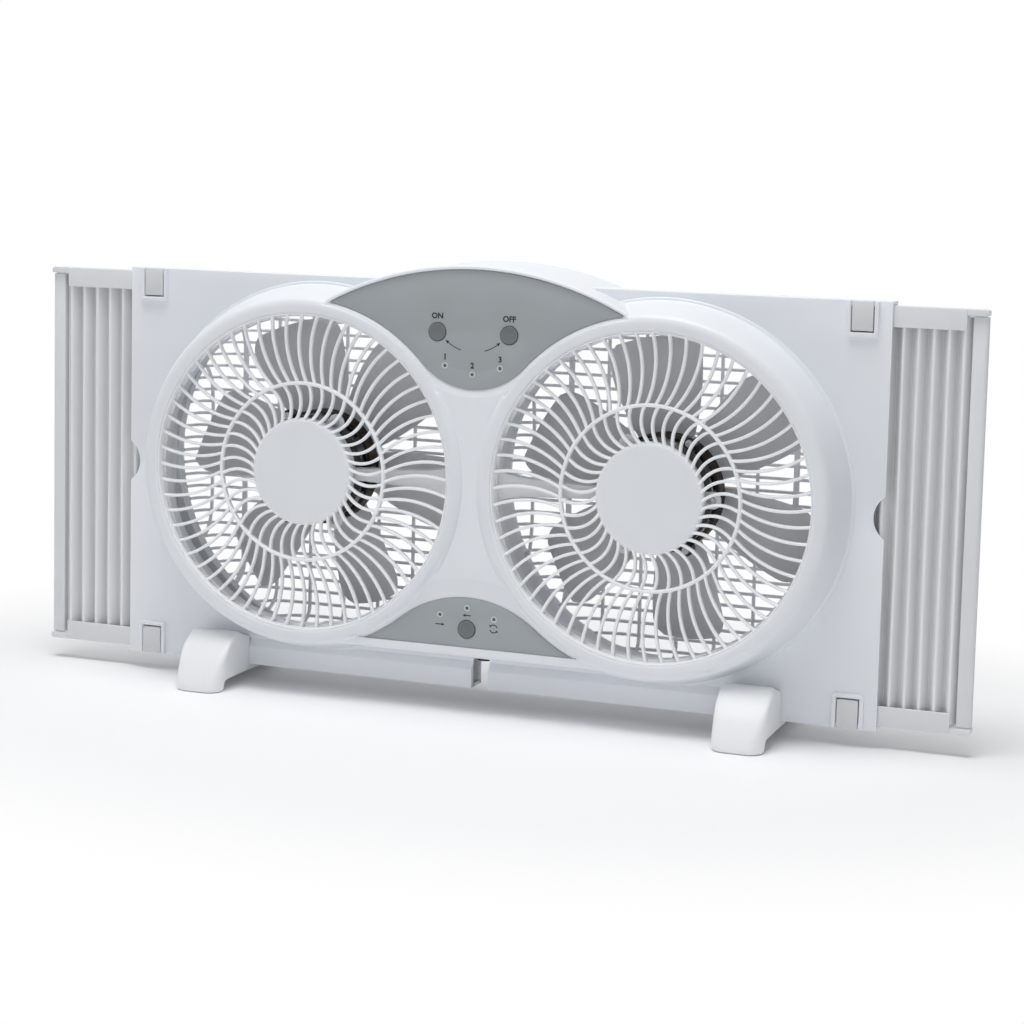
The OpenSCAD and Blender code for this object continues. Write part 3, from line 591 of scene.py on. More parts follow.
def lock_surround(side, level):
    """The raised border on three sides of a lock tab."""
    arm = [(-9.8, 23.5), (-9.8, 2.2)]
    arm += [(-9.8 + 1.6 * (1 - cos(a)), 2.2 - 1.6 * sin(a)) for a in (0.4, 0.8, 1.2)]
    arm += [(-8.2, 0.6)]
    section = [(-1.6, 7.5), (-1.6, 10.4), (-1.25, 11.05), (-0.6, 11.25)]
    section += [(0.6, 11.25), (1.25, 11.05), (1.6, 10.4), (1.75, 7.5)]
    return drawn_along(arm + mirrored(arm), section, LOCK_X, LOCK_Z, 0, in_corner(side, level))


lock_window = [(266.8, HALF_HEIGHT), (266.8, 127.7), (283.2, 127.7), (283.2, HALF_HEIGHT)]
finger_notch = arc(HALF_WIDTH + 10.1, 0, 18.1, 236.1, 123.9, 41)
cord_notch = [(CORD_NOTCH, -HALF_HEIGHT), (CORD_NOTCH, -129), (CORD_NOTCH - 1, -128)]
outer_line = [(-HALF_WIDTH, -HALF_HEIGHT)] + [(-x, -z) for x, z in lock_window[::-1]]
outer_line += mirrored(cord_notch)[::-1] + cord_notch[::-1]
outer_line += [(x, -z) for x, z in lock_window] + [(HALF_WIDTH, -HALF_HEIGHT)] + finger_notch
outer_line += [(HALF_WIDTH, HALF_HEIGHT)] + lock_window[::-1]
outer_line += [(-x, z) for x, z in lock_window] + [(-HALF_WIDTH, HALF_HEIGHT)] + mirrored(finger_notch)
fan_holes = [circle_loop(s * FAN_X, FAN_RISE, 130, 240) for s in (-1, 1)]
plate = slab([outer_line] + fan_holes, PLATE_BACK, PLATE_FACE, 0.45, forward)
sills = joined(sill_band(-189.5, -CORD_NOTCH), sill_band(CORD_NOTCH, 189.5))
surrounds = joined(*[lock_surround(side, level) for side in (-1, 1) for level in (-1, 1)])
shell = joined(plate, edge_walls(forward), sills, surrounds)
moulding("housing_front", shell, housing_white, "housing", "front_shell")

upper_rings = [
    (upper_outline(242.2 + 0.5 * flare, 128.6 - 1.4 * flare, 52.8 + 5 * flare), h)
    for flare, h in (
        (1.16, WAIST), (1.06, WAIST - 0.07), (0.98, WAIST - 0.25), (0.88, WAIST - 0.5),
        (0, POCKET_FLOOR), (-0.01, POCKET_FLOOR - 0.4),
    )
]
lower_rings = [
    (lower_outline(81.9 + 13.6 * flare, 130.5 - 3 * flare, POCKET_BASE), h)
    for flare, h in (
        (1.06, WAIST), (1.0, WAIST - 0.12), (0.93, WAIST - 0.34),
        (0, POCKET_FLOOR), (-0.01, POCKET_FLOOR - 0.4),
    )
]
key_places = {"speed": (-27.6, 115.6), "off": (27.6, 115.6), "mode": (0, -99.7)}
pockets = [(upper_rings, [key_places["speed"], key_places["off"]]), (lower_rings, [key_places["mode"]])]
field = waist(WAIST, DUCT_RADIUS + 4, forward, pockets)
moulding("housing_front_waist", field, housing_white, "housing", crease=38)
bezels = joined(bezel(-1), bezel(1))
moulding("housing_front_bezels", bezels, housing_white, "housing", crease=38)

# ---- Housing, rear half ----
# The matching white moulding behind: a plain face, two bezels and a waist. Ten long screws,
# whose heads lie down in wells, pull it against the front half.
def rearward(x, z, h):
    """A point given across, above mid-height and behind the middle plane."""
    return (x / 1000, h / 1000, (MID_HEIGHT + z) / 1000)


screw_places = [(s * x, z) for s in (-1, 1) for x, z in ((250, 105), (250, -95), (100, 141), (100, -138))]
centre_wells = [(0, 52), (0, -44)]
rear_line = [(x, z) for x, z in outer_line if not (266 < abs(x) < 284)]
rear_holes = [circle_loop(s * FAN_X, FAN_RISE, 127.2, 240) for s in (-1, 1)]
rear_holes += [circle_loop(x, z, 3.2, 24) for x, z in screw_places]
plate = slab([rear_line] + rear_holes, PLATE_BACK, PLATE_FACE, 0.45, rearward)
wells = [turned([(3.2, 8.3), (3.2, 4.0), (1.6, 4.0)], x, z, rearward, 24) for x, z in screw_places]
curtain_strips = []
for s in (-1, 1):
    strip = [(s * 262.2, -128), (s * 265.8, -128), (s * 265.8, 128), (s * 262.2, 128)]
    curtain_strips.append(slab([strip], -5.6, 6.4, 0.3, rearward))
shell = joined(plate, edge_walls(rearward), *wells, *curtain_strips)
moulding("housing_rear", shell, housing_white, "housing", "rear_shell")

REAR_WAIST = 38.5
deep_wells = []
for x, z in centre_wells:
    walls = ((3.7, REAR_WAIST), (3.35, REAR_WAIST - 0.15), (3.2, REAR_WAIST - 0.5), (3.2, 4.0))
    deep_wells.append(([(circle_loop(x, z, r, 32), h) for r, h in walls], []))
field = waist(REAR_WAIST, 131.5, rearward, deep_wells)
moulding("housing_rear_waist", field, housing_white, "housing", crease=38)

flank = [(135.4, 6.2), (139.2, 8.45), (138.5, 8.75), (138, 9.3), (137.65, 12), (137.2, 14.5), (136.6, 18)]
flank += [(135.8, 22), (135.1, 25.4), (134.7, 26.3), (133.9, 26.6), (133.1, 26.3), (132.8, 25.6)]
flank += [(133.6, 22), (134.4, 18), (135.0, 14.5), (135.4, 10)]
bezels = joined(*[turned(flank, s * FAN_X, FAN_RISE, rearward, 360, True) for s in (-1, 1)])
moulding("housing_rear_bezels", bezels, housing_white, "housing", crease=38)

# ---- Front grilles ----
# Each grille is one white moulding that snaps into its bezel: a rim, sixty curved spokes, a middle
# ring, forty spokes that curve the other way, and a domed disc in the centre.
def rounded(x, z, across, up, degrees):
    """Points of a rounded corner that starts upright at (x, z) and turns inwards."""
    return [(x - across * (1 - cos(a)), z + up * sin(a)) for a in map(radians, degrees)]


def rounded_bar(width, depth):
    """Section of a moulded bar, softer at the front than at the back."""
    half, corner = width / 2, 0.45
    front = rounded(half, depth - half * 0.9, half * 0.9, half * 0.9, (0, 22, 45, 68, 90))
    behind = [(-half, corner), (-half + corner, 0), (half - corner, 0), (half, corner)]
    return front + mirrored(front)[1:] + behind


def on_ring(radius, degrees):
    return Vector((radius * cos(radians(degrees)), radius * sin(radians(degrees))))


def bowed_path(start, stop, rise, count):
    """Middle line of a spoke: one arc between two points."""
    run = (stop - start).length
    radius = run * run / 8 / abs(rise) + abs(rise) / 2
    along = (stop - start) / run
    out = Vector((-along.y, along.x)) * (1 if rise > 0 else -1)
    centre = (start + stop) / 2 - out * (radius - abs(rise))
    half, middle = asin(run / 2 / radius), atan2(out.y, out.x)
    turns = [middle - half + 2 * half * i / (count - 1) for i in range(count)]
    return [(centre.x + radius * cos(a), centre.y + radius * sin(a)) for a in turns]


# Painted highlight: the grille's white is set lighter than the disc and the housing, though all are the
# same plastic. It stands in for the light that the round spokes and bars catch.
grille_white_painted_highlight = plastic("grille_white_painted_highlight", (0.90, 0.915, 0.94), rough=0.35)
disc_white = plastic("disc_white", (0.80, 0.825, 0.86), rough=0.45, grain=1200, depth=0.00003)
SPOKE_BACK = 36.9
OUTER_SPOKES, INNER_SPOKES = 60, 40
spoke_section = rounded_bar(2.25, 3.2)
rim = [(116.7, 36.55), (117.97, 36.55), (117.97, 43.3), (117.7, 43.6), (117.1, 43.4), (116.9, 42.9)]
middle_ring = [(66 + u * 1.08, 36.5 + v * 1.2) for u, v in rounded_bar(2.45, 3.45)]
disc = [(37.6, 38.1), (37.6, 34.0), (40, 34.0), (40, 37.4)]
disc += rounded(40, 37.4, 3.0, 3.0, (12, 24, 36, 48, 60, 72, 84))
disc += [(r, 41.1 - 0.7 * (r / 36.7) ** 2) for r in (36.2, 34, 28, 22, 16, 10, 5, 0.0)]
for side_name, side in (("left", -1), ("right", 1)):
    cx, hand = side * FAN_X, -side
    spokes = []
    for i in range(OUTER_SPOKES):
        a = 0.55 + i * 360 / OUTER_SPOKES
        spokes.append(bowed_path(on_ring(117.2, a), on_ring(66.6, a - 2.9 * hand), -4.4 * hand, 15))
    for i in range(INNER_SPOKES):
        a = 4.8 + i * 360 / INNER_SPOKES
        spokes.append(bowed_path(on_ring(65.4, a), on_ring(38.6, a + 3 * hand), 3.9 * hand, 11))
    bars = [drawn_along(path, spoke_section, cx, FAN_RISE, SPOKE_BACK, forward) for path in spokes]
    outer_ring = turned(rim, cx, FAN_RISE, forward, 240, True)
    inner_ring = turned(middle_ring, cx, FAN_RISE, forward, 200, True)
    cap, name = turned(disc, cx, FAN_RISE, forward, 160), f"front_grille_{side_name}"
    moulding(f"centre_disc_{side_name}", cap, disc_white, "grille", crease=40)
    shape = joined(outer_ring, inner_ring, *bars)
    moulding(f"spiral_grille_{side_name}", shape, grille_white_painted_highlight, "grille", name, crease=40)

# ---- Rear grilles ----
# A plain guard behind each fan: level bars crossed by nine uprights, which bend forward over the
# shoulder and run down into the ring of the rear housing like a shallow basket.
BASKET_RADIUS = 134.75
basket_radii = [120.8, 123.5, 127, 129.4, 131.8, 133.5, 134.8]
basket_heights = [42, 41.35, 39.8, 37.6, 34, 30.2, 26.4]


def bent_bar(offset, is_level, section, depth, cx):
    """A bar of the guard at a distance from its middle, bent to the basket's shape."""
    half = sqrt(BASKET_RADIUS ** 2 - offset ** 2)
    runs = [half * sin(radians(a)) for a in range(-90, 91, 4)]
    spots = [(run, float(np.interp(hypot(run, offset), basket_radii, basket_heights))) for run in runs]
    points = []
    for (run, h), way in run_of(spots):
        for u, v in section:
            along, out = run - way.y * (v - depth), h + way.x * (v - depth)
            x, z = (along, offset + u) if is_level else (offset + u, along)
            points.append(rearward(cx + x, FAN_RISE + z, out))
    return points, rod_faces(len(spots), len(section))


LEVEL_PITCH, UPRIGHT_PITCH = 9.6, 28.8
level_section, upright_section, wide_section = (rounded_bar(width, 3.0) for width in (2.2, 2.4, 4.4))
for side_name, side in (("left", -1), ("right", 1)):
    cx = side * FAN_X
    bars = [bent_bar(i * LEVEL_PITCH, True, level_section, 3.0, cx) for i in range(-13, 14)]
    for i in range(-4, 5):
        section = wide_section if abs(i) == 3 else upright_section
        bars.append(bent_bar(i * UPRIGHT_PITCH, False, section, 3.08, cx))
    name = f"rear_grille_{side_name}"
    # The guards take the grille's lightened white too, a painted highlight on their bars.
    moulding(f"guard_{side_name}", joined(*bars), grille_white_painted_highlight, "grille", name, crease=40)

# ---- Impellers ----
# Six broad twisted blades of grey plastic, moulded in one with an open hub cup. Ribs stiffen
# the cup, which is pushed on the motor's shaft and held by a nut.
def skin_faces(rows, columns, with_sides):
    """Faces of a sheet that has two skins, closed at its first and last row and, if wanted, its sides."""
    size = rows * columns
    faces = []
    for skin in (0, size):
        for i in range(rows - 1):
            for j in range(columns - 1):
                a = skin + i * columns + j
                faces.append((a, a + 1, a + columns + 1, a + columns))
    sides = [(i * columns + j, columns) for i in range(rows - 1) for j in (0, columns - 1)]
    ends = [(i * columns + j, 1) for i in (0, rows - 1) for j in range(columns - 1)]
    for a, step in (sides if with_sides else []) + ends:
        faces.append((a, a + step, a + step + size, a + size))
    return faces


BLADE_ROOT, BLADE_TIP = 34.4, 111
BLADE_ROWS, BLADE_COLUMNS = 28, 25


def blade(phase, cx):
    """One blade as a closed skin: a front and a back surface that meet in rounded edges."""
    points = []
    for skin in (1, -1):
        for i in range(BLADE_ROWS):
            r = BLADE_ROOT + (BLADE_TIP - BLADE_ROOT) * i / (BLADE_ROWS - 1)
            reach = (r - 36) / 75
            tip_rounding = max(0, (r - 96) / 15)
            half = (27 - 10.5 * reach) * sqrt(max(0.0, 1 - tip_rounding ** 3 * 0.42))
            edge = 1 if i < BLADE_ROWS - 1 else 0.35
            for j in range(BLADE_COLUMNS):
                t = -cos(pi * j / (BLADE_COLUMNS - 1))
                height = -23.5 + 6 * min(1, 1.6 * reach) * (1 + t) + 8 * t - 3.2 * (1 - t * t)
                thick = (1.1 - 0.35 * reach) * sqrt(max(0, 1 - t ** 4)) * edge
                a = radians(phase + half * t)
                x, z = cx + r * cos(a), FAN_RISE + r * sin(a)
                points.append(forward(x, z, height + skin * thick))
    return points, skin_faces(BLADE_ROWS, BLADE_COLUMNS, False)


blade_grey = plastic("blade_grey", (0.70, 0.70, 0.715), rough=0.36)
hub = [(4.05, -17), (9, -17), (9, -29.5), (33.5, -29.5), (33.5, -15.4), (33.9, -15), (35.6, -15)]
hub += [(36, -15.4), (36, -30.2), (35.4, -31.3), (34.2, -32), (4.05, -32)]
rib_section = [(u, v * 2.6) for u, v in rounded_bar(1.6, 3.2)]
for side_name, side, phase in (("left", -1, 109), ("right", 1, 99)):
    cx = side * FAN_X
    ribs = []
    for i in range(6):
        path = [on_ring(r, phase + 30 + i * 60) for r in (8.5, 21, 33.8)]
        ribs.append(drawn_along(path, rib_section, cx, FAN_RISE, -29.8, forward))
    blades = [blade(phase + i * 60, cx) for i in range(6)]
    shape = joined(turned(hub, cx, FAN_RISE, forward, 120, True), *ribs, *blades)
    name, body = f"impeller_{side_name}", f"{side_name}_fan"
    moulding(f"fan_{side_name}", shape, blade_grey, "blade", name, body=body, crease=35)

# ---- Control panels ----
# Two thin grey overlays with a fine matt grain lie in the pockets. Their signs are printed in a
# near-black ink: ON and OFF, plain numbers for the speeds and arrows for the way the air goes.
def panel(name, outline, keys, lamps, node):
    holes = [circle_loop(*key_places[key], 7.05, 48) for key in keys]
    holes += [circle_loop(x, z, 2.15, 48) for x, z in lamps]
    shape = slab([outline] + holes, 39.8, 40.6, 0.15, forward)
    moulding(name, shape, panel_grey, "overlay", node, crease=30)


panel_grey = plastic("panel_grey", (0.36, 0.39, 0.405), rough=0.55, grain=1500, worn=0.15, dust=0.05)
printing_ink = plastic(
    "printing_ink", (0.012, 0.013, 0.016), rough=0.5,
    grain=2500, depth=0.000005, worn=0, dust=0.02, variation=0.12,
)
INK_TOP = 40.64
SIGN_HEIGHT = 4.2
speed_lamps = [(-21.2, 91.5), (0, 86), (21.2, 91.5)]
mode_lamps = [(-21, -90.5), (0, -84), (21, -90.5)]
panel("upper_overlay", upper_outline(242, 128.8, 52.6), ["speed", "off"], speed_lamps, "upper_panel")
panel("lower_overlay", lower_outline(81.7, 130.7, -113), ["mode"], mode_lamps, "lower_panel")


def printed(name, loops):
    """Signs as a film of ink, a few hundredths of a millimetre thick."""
    shapes = [([forward(x, z, INK_TOP) for x, z in loop], filled([loop])) for loop in loops]
    moulding(name, joined(*shapes), printing_ink, "overlay")


def stroke(path, width):
    """A line of ink of even width along a path."""
    edges = [(here, run * width / 2) for here, run in run_of(path)]
    left_edge = [(here[0] - half.y, here[1] + half.x) for here, half in edges]
    return left_edge + [(here[0] + half.y, here[1] - half.x) for here, half in edges[::-1]]


def arrow_head(tip, turn, size):
    ca, sa = cos(radians(turn)), sin(radians(turn))
    spots = [(0, 0), (-size, size * 0.45), (-size * 0.75, 0), (-size, -size * 0.45)]
    return [(tip[0] + u * ca - v * sa, tip[1] + u * sa + v * ca) for u, v in spots]


def lettering(word, x, z):
    """A word or number from the plain built-in typeface, as flat ink centred on (x, z)."""
    drawn = bpy.data.curves.new("sign_" + word, "FONT")
    drawn.body = word
    drawn.align_x = drawn.align_y = "CENTER"
    drawn.size = SIGN_HEIGHT / 1000 * 1.35
    drawn.offset = 0.00022
    drawn.resolution_u = 3
    holder = bpy.data.objects.new("sign_" + word, drawn)
    scene.collection.objects.link(holder)
    bpy.context.view_layer.update()
    flat = bpy.data.meshes.new_from_object(holder.evaluated_get(bpy.context.evaluated_depsgraph_get()))
    points = [forward(x + v.co.x * 1000, z + v.co.y * 1000, INK_TOP) for v in flat.vertices]
    faces = [list(f.vertices) for f in flat.polygons]
    bpy.data.objects.remove(holder)
    bpy.data.meshes.remove(flat)
    bpy.data.curves.remove(drawn)
    return points, faces


link_left, link_right = arc(0, 133.5, 31.5, 228, 253, 25), arc(0, 133.5, 31.5, 287, 312, 25)
printed("upper_arrows", [
    stroke(link_left[1:], 0.6), stroke(link_right[:-1], 0.6),
    arrow_head(link_left[0], 140, 3.2), arrow_head(link_right[-1], 40, 3.2),
])
signs = [("ON", -27.6, 127.0), ("OFF", 27.6, 127.0), ("1", -21.2, 97.8), ("2", 0, 92.3), ("3", 21.2, 97.8)]
moulding("upper_signs", joined(*[lettering(*sign) for sign in signs]), printing_ink, "overlay")
mode_signs = [
    stroke([(-24.5, -97.6), (-18.6, -97.6)], 0.75), arrow_head((-17.2, -97.6), 0, 2.6),
    stroke([(3.2, -89.4), (-1.9, -89.4)], 0.75), arrow_head((-3.4, -89.4), 180, 2.6),
]
for start, turn in ((20, 262), (200, 82)):
    mode_signs.append(stroke(arc(20.9, -97.4, 2.9, start, start + 130, 9), 0.75))
    mode_signs.append(arrow_head(arc(20.9, -97.4, 2.9, start, start + 146, 9)[-1], turn, 2.2))
printed("mode_arrows", mode_signs)

# ---- Push buttons ----
# Three dished round keys in a darker grey plastic. Each has a retaining flange and a stem behind
# the pocket's floor, and moves in a plain hole.
button_grey = plastic("button_grey", (0.15, 0.165, 0.175), rough=0.42, worn=0.2, dust=0.05)
key_profile = [(0, 33.9), (2.2, 33.9), (2.2, 34.3), (8, 34.3), (8, 35.6), (6.5, 35.6), (6.5, 40.4)]
key_profile += rounded(6.5, 40.4, 0.7, 0.6, (18, 36, 54, 72, 88))
key_profile += [(r, 40.25 + 0.72 * (r / 5.5) ** 2) for r in (5.2, 4.4, 3.2, 2.1, 1.0, 0.0)]
for key, (x, z) in key_places.items():
    cap = turned(key_profile, x, z, forward, 72)
    name = f"{key}_button"
    moulding(f"{key}_key_cap", cap, button_grey, "button", name, body=f"{key}_key", crease=35)

# ---- Indicator lights ----
# Small smoked lenses, each in a pale moulded ring that stands just proud of the overlay.
# Each lens is the end of a stem that brings the light up from the board.
lens_smoke = plastic("lens_smoke", (0.12, 0.14, 0.14), rough=0.12, depth=0.00001, worn=0.1)
lamp_ring_grey = plastic("lamp_ring_grey", (0.62, 0.64, 0.65), rough=0.35)
lens = [(0, 29.6), (1.35, 29.6), (1.35, 40.5), (1.3, 40.6), (1.1, 40.72), (0.8, 40.8), (0, 40.82)]
ring = [(1.38, 39.9), (2.1, 39.9), (2.3, 40.64), (2.2, 40.8), (1.9, 40.9), (1.5, 40.8), (1.38, 40.6)]
for group_name, lamps in (("speed", speed_lamps), ("mode", mode_lamps)):
    lenses = joined(*[turned(lens, x, z, forward, 32) for x, z in lamps])
    rings = joined(*[turned(ring, x, z, forward, 32, True) for x, z in lamps])
    moulding(f"{group_name}_lenses", lenses, lens_smoke, "lens", f"{group_name}_lights")
    moulding(f"{group_name}_lens_rings", rings, lamp_ring_grey, "lens")

# ---- Extender frames ----
# On each side a sliding frame of three pale grey extrusions: an upper and a lower channel rail
# with moulded end caps, and an end stile with a shallow groove that seals against the window frame.
extender_grey = plastic("extender_grey", (0.72, 0.735, 0.75), rough=0.4)
lip = [(-5.5, 132.9), (-5.1, 132.5), (-4.5, 132.5), (-4.1, 132.9), (-4.1, 142.05)]
roof = [(5.5, 146.5), (5.3, 147.0), (4.8, 147.2)]
channel = lip + mirrored(lip) + roof + mirrored(roof)
neck = [(-2.2, 141.9), (2.2, 141.9), (2.2, 143.1), (-2.2, 143.1)]
cap_profile = [(-14.45, 142.8), (-0.4, 142.8), (0, 143.2)]
cap_profile += [(0, 145.4), (-0.5, 146.6), (-1.7, 147.2), (-14.45, 147.2)]
half_bar = [(3.0, -10.4), (3.5, -9.9), (3.5, -2.2), (3.2, -1.2), (2.5, -0.35)]
half_bar += [(1.7, 0), (1.4, 0), (1.2, -0.2), (1.2, -1.5)]
for side_name, side, tip in (("left", -1, 367.8), ("right", 1, 360.2)):
    body = f"{side_name}_extender"
    cap = [(tip + x, z) for x, z in cap_profile]
    for level_name, level in (("top", 1), ("bottom", -1)):
        put = in_corner(side, level)
        rail = slab([channel], tip - 164, tip - 14.5, 0.2, crosswise(put))
        end_cap = slab([cap], -5.5, 5.5, 0.25, put)
        cap_neck = slab([neck], tip - 14.45, tip - 1.6, 0.1, crosswise(put))
        shape, node = joined(rail, end_cap, cap_neck), f"{level_name}_rail_{side_name}"
        name = f"{level_name}_channel_{side_name}"
        moulding(name, shape, extender_grey, "extender", node, body=body, crease=30)
    front = [(y, tip + x) for y, x in half_bar]
    bar = [(-3.0, tip - 10.4)] + front + mirrored(front[1:])
    stile = slab([bar], -141.85, 141.85, 0.15, lambda y, x, z: forward(side * x, z, y))
    node = f"end_stile_{side_name}"
    moulding(f"stile_{side_name}", stile, extender_grey, "extender", node, body=body, crease=30)

# ---- Pleated curtains ----
# A grey vinyl sheet folded like an accordion, which fills the gap between the housing and the
# stile. A strip inside the housing holds one edge and the stile the other.
curtain_grey = plastic("curtain_grey", (0.84, 0.845, 0.86), rough=0.42, worn=0.2)
# Painted shade: the curtain's colour is mixed towards a darker grey by how far back each point of the
# sheet lies. This paints shade into the valleys of the folds, where shade falls.
painted_fold_shade_depth, given = effect("painted_fold_shade_depth", Reach=0.0037)
place = wired(painted_fold_shade_depth, "SeparateXYZ", {0: wired(painted_fold_shade_depth, "TexCoord").outputs["Object"]})
outside = wired(painted_fold_shade_depth, "SeparateXYZ", {0: wired(painted_fold_shade_depth, "NewGeometry").outputs["True Normal"]})
outward = reckoned(painted_fold_shade_depth, "SIGN", outside.outputs["Y"])
height = reckoned(painted_fold_shade_depth, "MULTIPLY", place.outputs["Y"], outward)
height = reckoned(painted_fold_shade_depth, "DIVIDE", height, given["Reach"])
ridges = wired(painted_fold_shade_depth, "MapRange", {"Value": height, "From Min": -1})
put_out(painted_fold_shade_depth, Ridge=ridges.outputs["Result"])
curtain_tree = curtain_grey.node_tree
curtain_colour = curtain_tree.nodes["Principled BSDF"].inputs["Base Color"]
painted_fold_shade_node = wired(curtain_tree, "Group", node_tree=painted_fold_shade_depth)
painted_valley_shade_grey, plain_colour = (0.66, 0.66, 0.675, 1), curtain_colour.links[0].from_socket
colour_with_painted_fold_shade = tinted(curtain_tree, painted_fold_shade_node.outputs["Ridge"], painted_valley_shade_grey, plain_colour)
curtain_tree.links.new(colour_with_painted_fold_shade, curtain_colour)

PLEATS = 16
PLEAT_START = 266
FOLD_BACK, FOLD_FRONT = -3.7, 3.5
VINYL_HALF = 0.28
ROWS = 41
for side_name, side, tip, keep in (("left", -1, 357.35, 0.209), ("right", 1, 349.75, 0.2279)):
    pitch = (tip - PLEAT_START) / PLEATS
    ridge = []
    for k in range(PLEATS):
        low, high = (FOLD_BACK, FOLD_FRONT) if k % 2 == 0 else (FOLD_FRONT, FOLD_BACK)
        for u in (0.0, 0.07, 0.13, 0.2, 0.35, 0.5, 0.65, 0.8, 0.87, 0.93):
            sharp = min(1, max(0, (u - 0.1) / 0.8))
            soft = sharp * sharp * (3 - 2 * sharp)
            rise = 0.8 * sharp + 0.2 * soft
            ridge.append((PLEAT_START + pitch * (k + u), low + (high - low) * rise))
    ridge.append((tip, FOLD_BACK))
    points = []
    for skin in (VINYL_HALF, -VINYL_HALF):
        for i in range(ROWS):
            z = -141.4 + 282.8 * i / (ROWS - 1)
            for j, ((x, y), run) in enumerate(run_of(ridge)):
                wander = 0.35 * sin(z * 0.021 + j * 0.11)
                wander *= sin(pi * i / (ROWS - 1)) * sin(pi * j / (len(ridge) - 1))
                points.append(forward(side * (x + wander - run.y * skin), z, y + run.x * skin))
    shape, node = (points, skin_faces(ROWS, len(ridge), True)), f"curtain_{side_name}"
    pleats = moulding(f"pleats_{side_name}", shape, curtain_grey, "curtain", node, crease=50)
    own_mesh(pleats)

# ---- Lock tabs ----
# A grey spring tab in a window at each corner of the face plate. It turns on a thin pin near the
# edge, and pressed at its free end it clamps the rail.
tab_grey = plastic("tab_grey", (0.66, 0.675, 0.69), rough=0.42)
tab_side = [(-7.45, 129.6), (-6.8, 129.2)]
tab_end = [(7.45, 149.3), (6.8, 149.6)]
tab_outline = [(LOCK_X + x, z) for x, z in tab_side + mirrored(tab_side) + tab_end + mirrored(tab_end)]
pin_circle = circle_loop(147, 8.6, 1.2, 24)
for level_name, level in (("top", 1), ("bottom", -1)):
    for side_name, side in (("left", -1), ("right", 1)):
        put = in_corner(side, level)
        pad = slab([tab_outline], 7.7, 10.9, 0.5, put)
        pin = ([put(LOCK_X + x, z, h) for x in (-9.6, 9.6) for z, h in pin_circle], rod_faces(2, 24))
        name, body = f"{level_name}_{side_name}_tab", f"{level_name}_{side_name}_lock"
        node = f"lock_tab_{level_name}_{side_name}"
        moulding(name, joined(pad, pin), tab_grey, "tab", node, body=body, crease=35)

# ---- Feet ----
# Two thick-walled white saddles pushed up over the lower edge, with well rounded toes and backs.
# Each starts as the plain solid foot: its skin is softened, then leaned in towards the top.
foot_white = plastic("foot_white", (0.86, 0.875, 0.895), rough=0.4)
FOOT_HEIGHT = 0.0446
SADDLE_HALF = 0.013
for side_name in ("left", "right"):
    blank = bpy.data.meshes.new(f"foot_blank_{side_name}")
    source = bmesh.new()
    source.from_mesh(nodes[f"foot_{side_name}"].data)
    bmesh.ops.remove_doubles(source, verts=source.verts, dist=1e-5)
    source.to_mesh(blank)
    source.free()
    rough_foot = bpy.data.objects.new(f"foot_blank_{side_name}", blank)
    scene.collection.objects.link(rough_foot)
    even = rough_foot.modifiers.new("even_skin", "REMESH")
    even.mode = "VOXEL"
    even.voxel_size = 0.0013
    soft = rough_foot.modifiers.new("soft_corners", "SMOOTH")
    soft.factor = 0.5
    soft.iterations = 26
    bpy.context.view_layer.update()
    softened = rough_foot.evaluated_get(bpy.context.evaluated_depsgraph_get())
    smooth_foot = bpy.data.meshes.new_from_object(softened)
    points = []
    for vertex in smooth_foot.vertices:
        x, y, z = vertex.co
        lean = 19 / 53 * (max(0, z) / FOOT_HEIGHT) ** 1.5
        z -= 0.0032 * min(1, max(0, (z - 0.022) / 0.02)) ** 1.6
        if abs(y) > SADDLE_HALF:
            y = math.copysign(SADDLE_HALF + (abs(y) - SADDLE_HALF) * (1 - lean), y)
        points.append((x, y, z))
    shape = points, [list(f.vertices) for f in smooth_foot.polygons]
    bpy.data.objects.remove(rough_foot)
    moulding(f"foot_shell_{side_name}", shape, foot_white, "feet", f"foot_{side_name}", crease=60)

# ---- Motors ----
# Open-frame motors: a pressed black end bell on each side of the laminated stack, copper end turns
# bound with tape, through bolts, and a white carrier arm that reaches out to the waist.
def metal(name, colour, rough):
    """A turned, cast or plated metal with fine tool marks and dull patches."""
    material, tree, shader = bare_material(name)
    shader.inputs["Metallic"].default_value = 1
    grains = wired(tree, "Group", {"Size": 400, "Flow": 120}, node_tree=moulded_grain)
    dull = (*[c * 0.75 for c in colour], 1)
    tone = tinted(tree, grains.outputs["Flow Marks"], dull, (*colour, 1))
    surfaced(tree, shader, tone, grains, rough - 0.08, rough + 0.12, 0.4, 0.00002)
    return material


def end_turns(cx, base, way, rows):
    """The copper coils that stand out of one end of the stack, and the tape that binds them."""
    shapes = []
    for first, last, lift in rows:
        for k in range(int((last - first) / WIRE_PITCH) + 1):
            middle = first + WIRE_PITCH / 2 + k * WIRE_PITCH
            buried = first + 2.2 < middle < last - 2.2 and lift < rows[-1][2]
            if middle > last or buried:
                continue
            turns = [pi * t / 4 for t in range(8)]
            wire = [(middle + 0.74 * cos(a), base + way * (lift + 0.72 * sin(a))) for a in turns]
            shapes.append(turned(wire, cx, FAN_RISE, forward, 90, True))
    (inner, outer, low), (top_inner, top_outer, high) = rows[0], rows[-1]
    low, high = low - 1, high + 1.05
    tape = [(inner - 0.4, low), (outer + 0.4, low), (outer + 0.3, high - 2.6)]
    tape += [(top_outer + 0.9, high), (top_inner - 0.4, high), (inner - 0.4, high - 2.6)]
    for i in range(12):
        a = radians(i * 30 + 7)
        points = []
        for width in (-1.1, 1.1):
            for r, h in tape:
                x, z = r * cos(a) - width * sin(a), r * sin(a) + width * cos(a)
                points.append(forward(cx + x, FAN_RISE + z, base + way * h))
        shapes.append((points, rod_faces(2, len(tape))))
    return joined(*shapes)


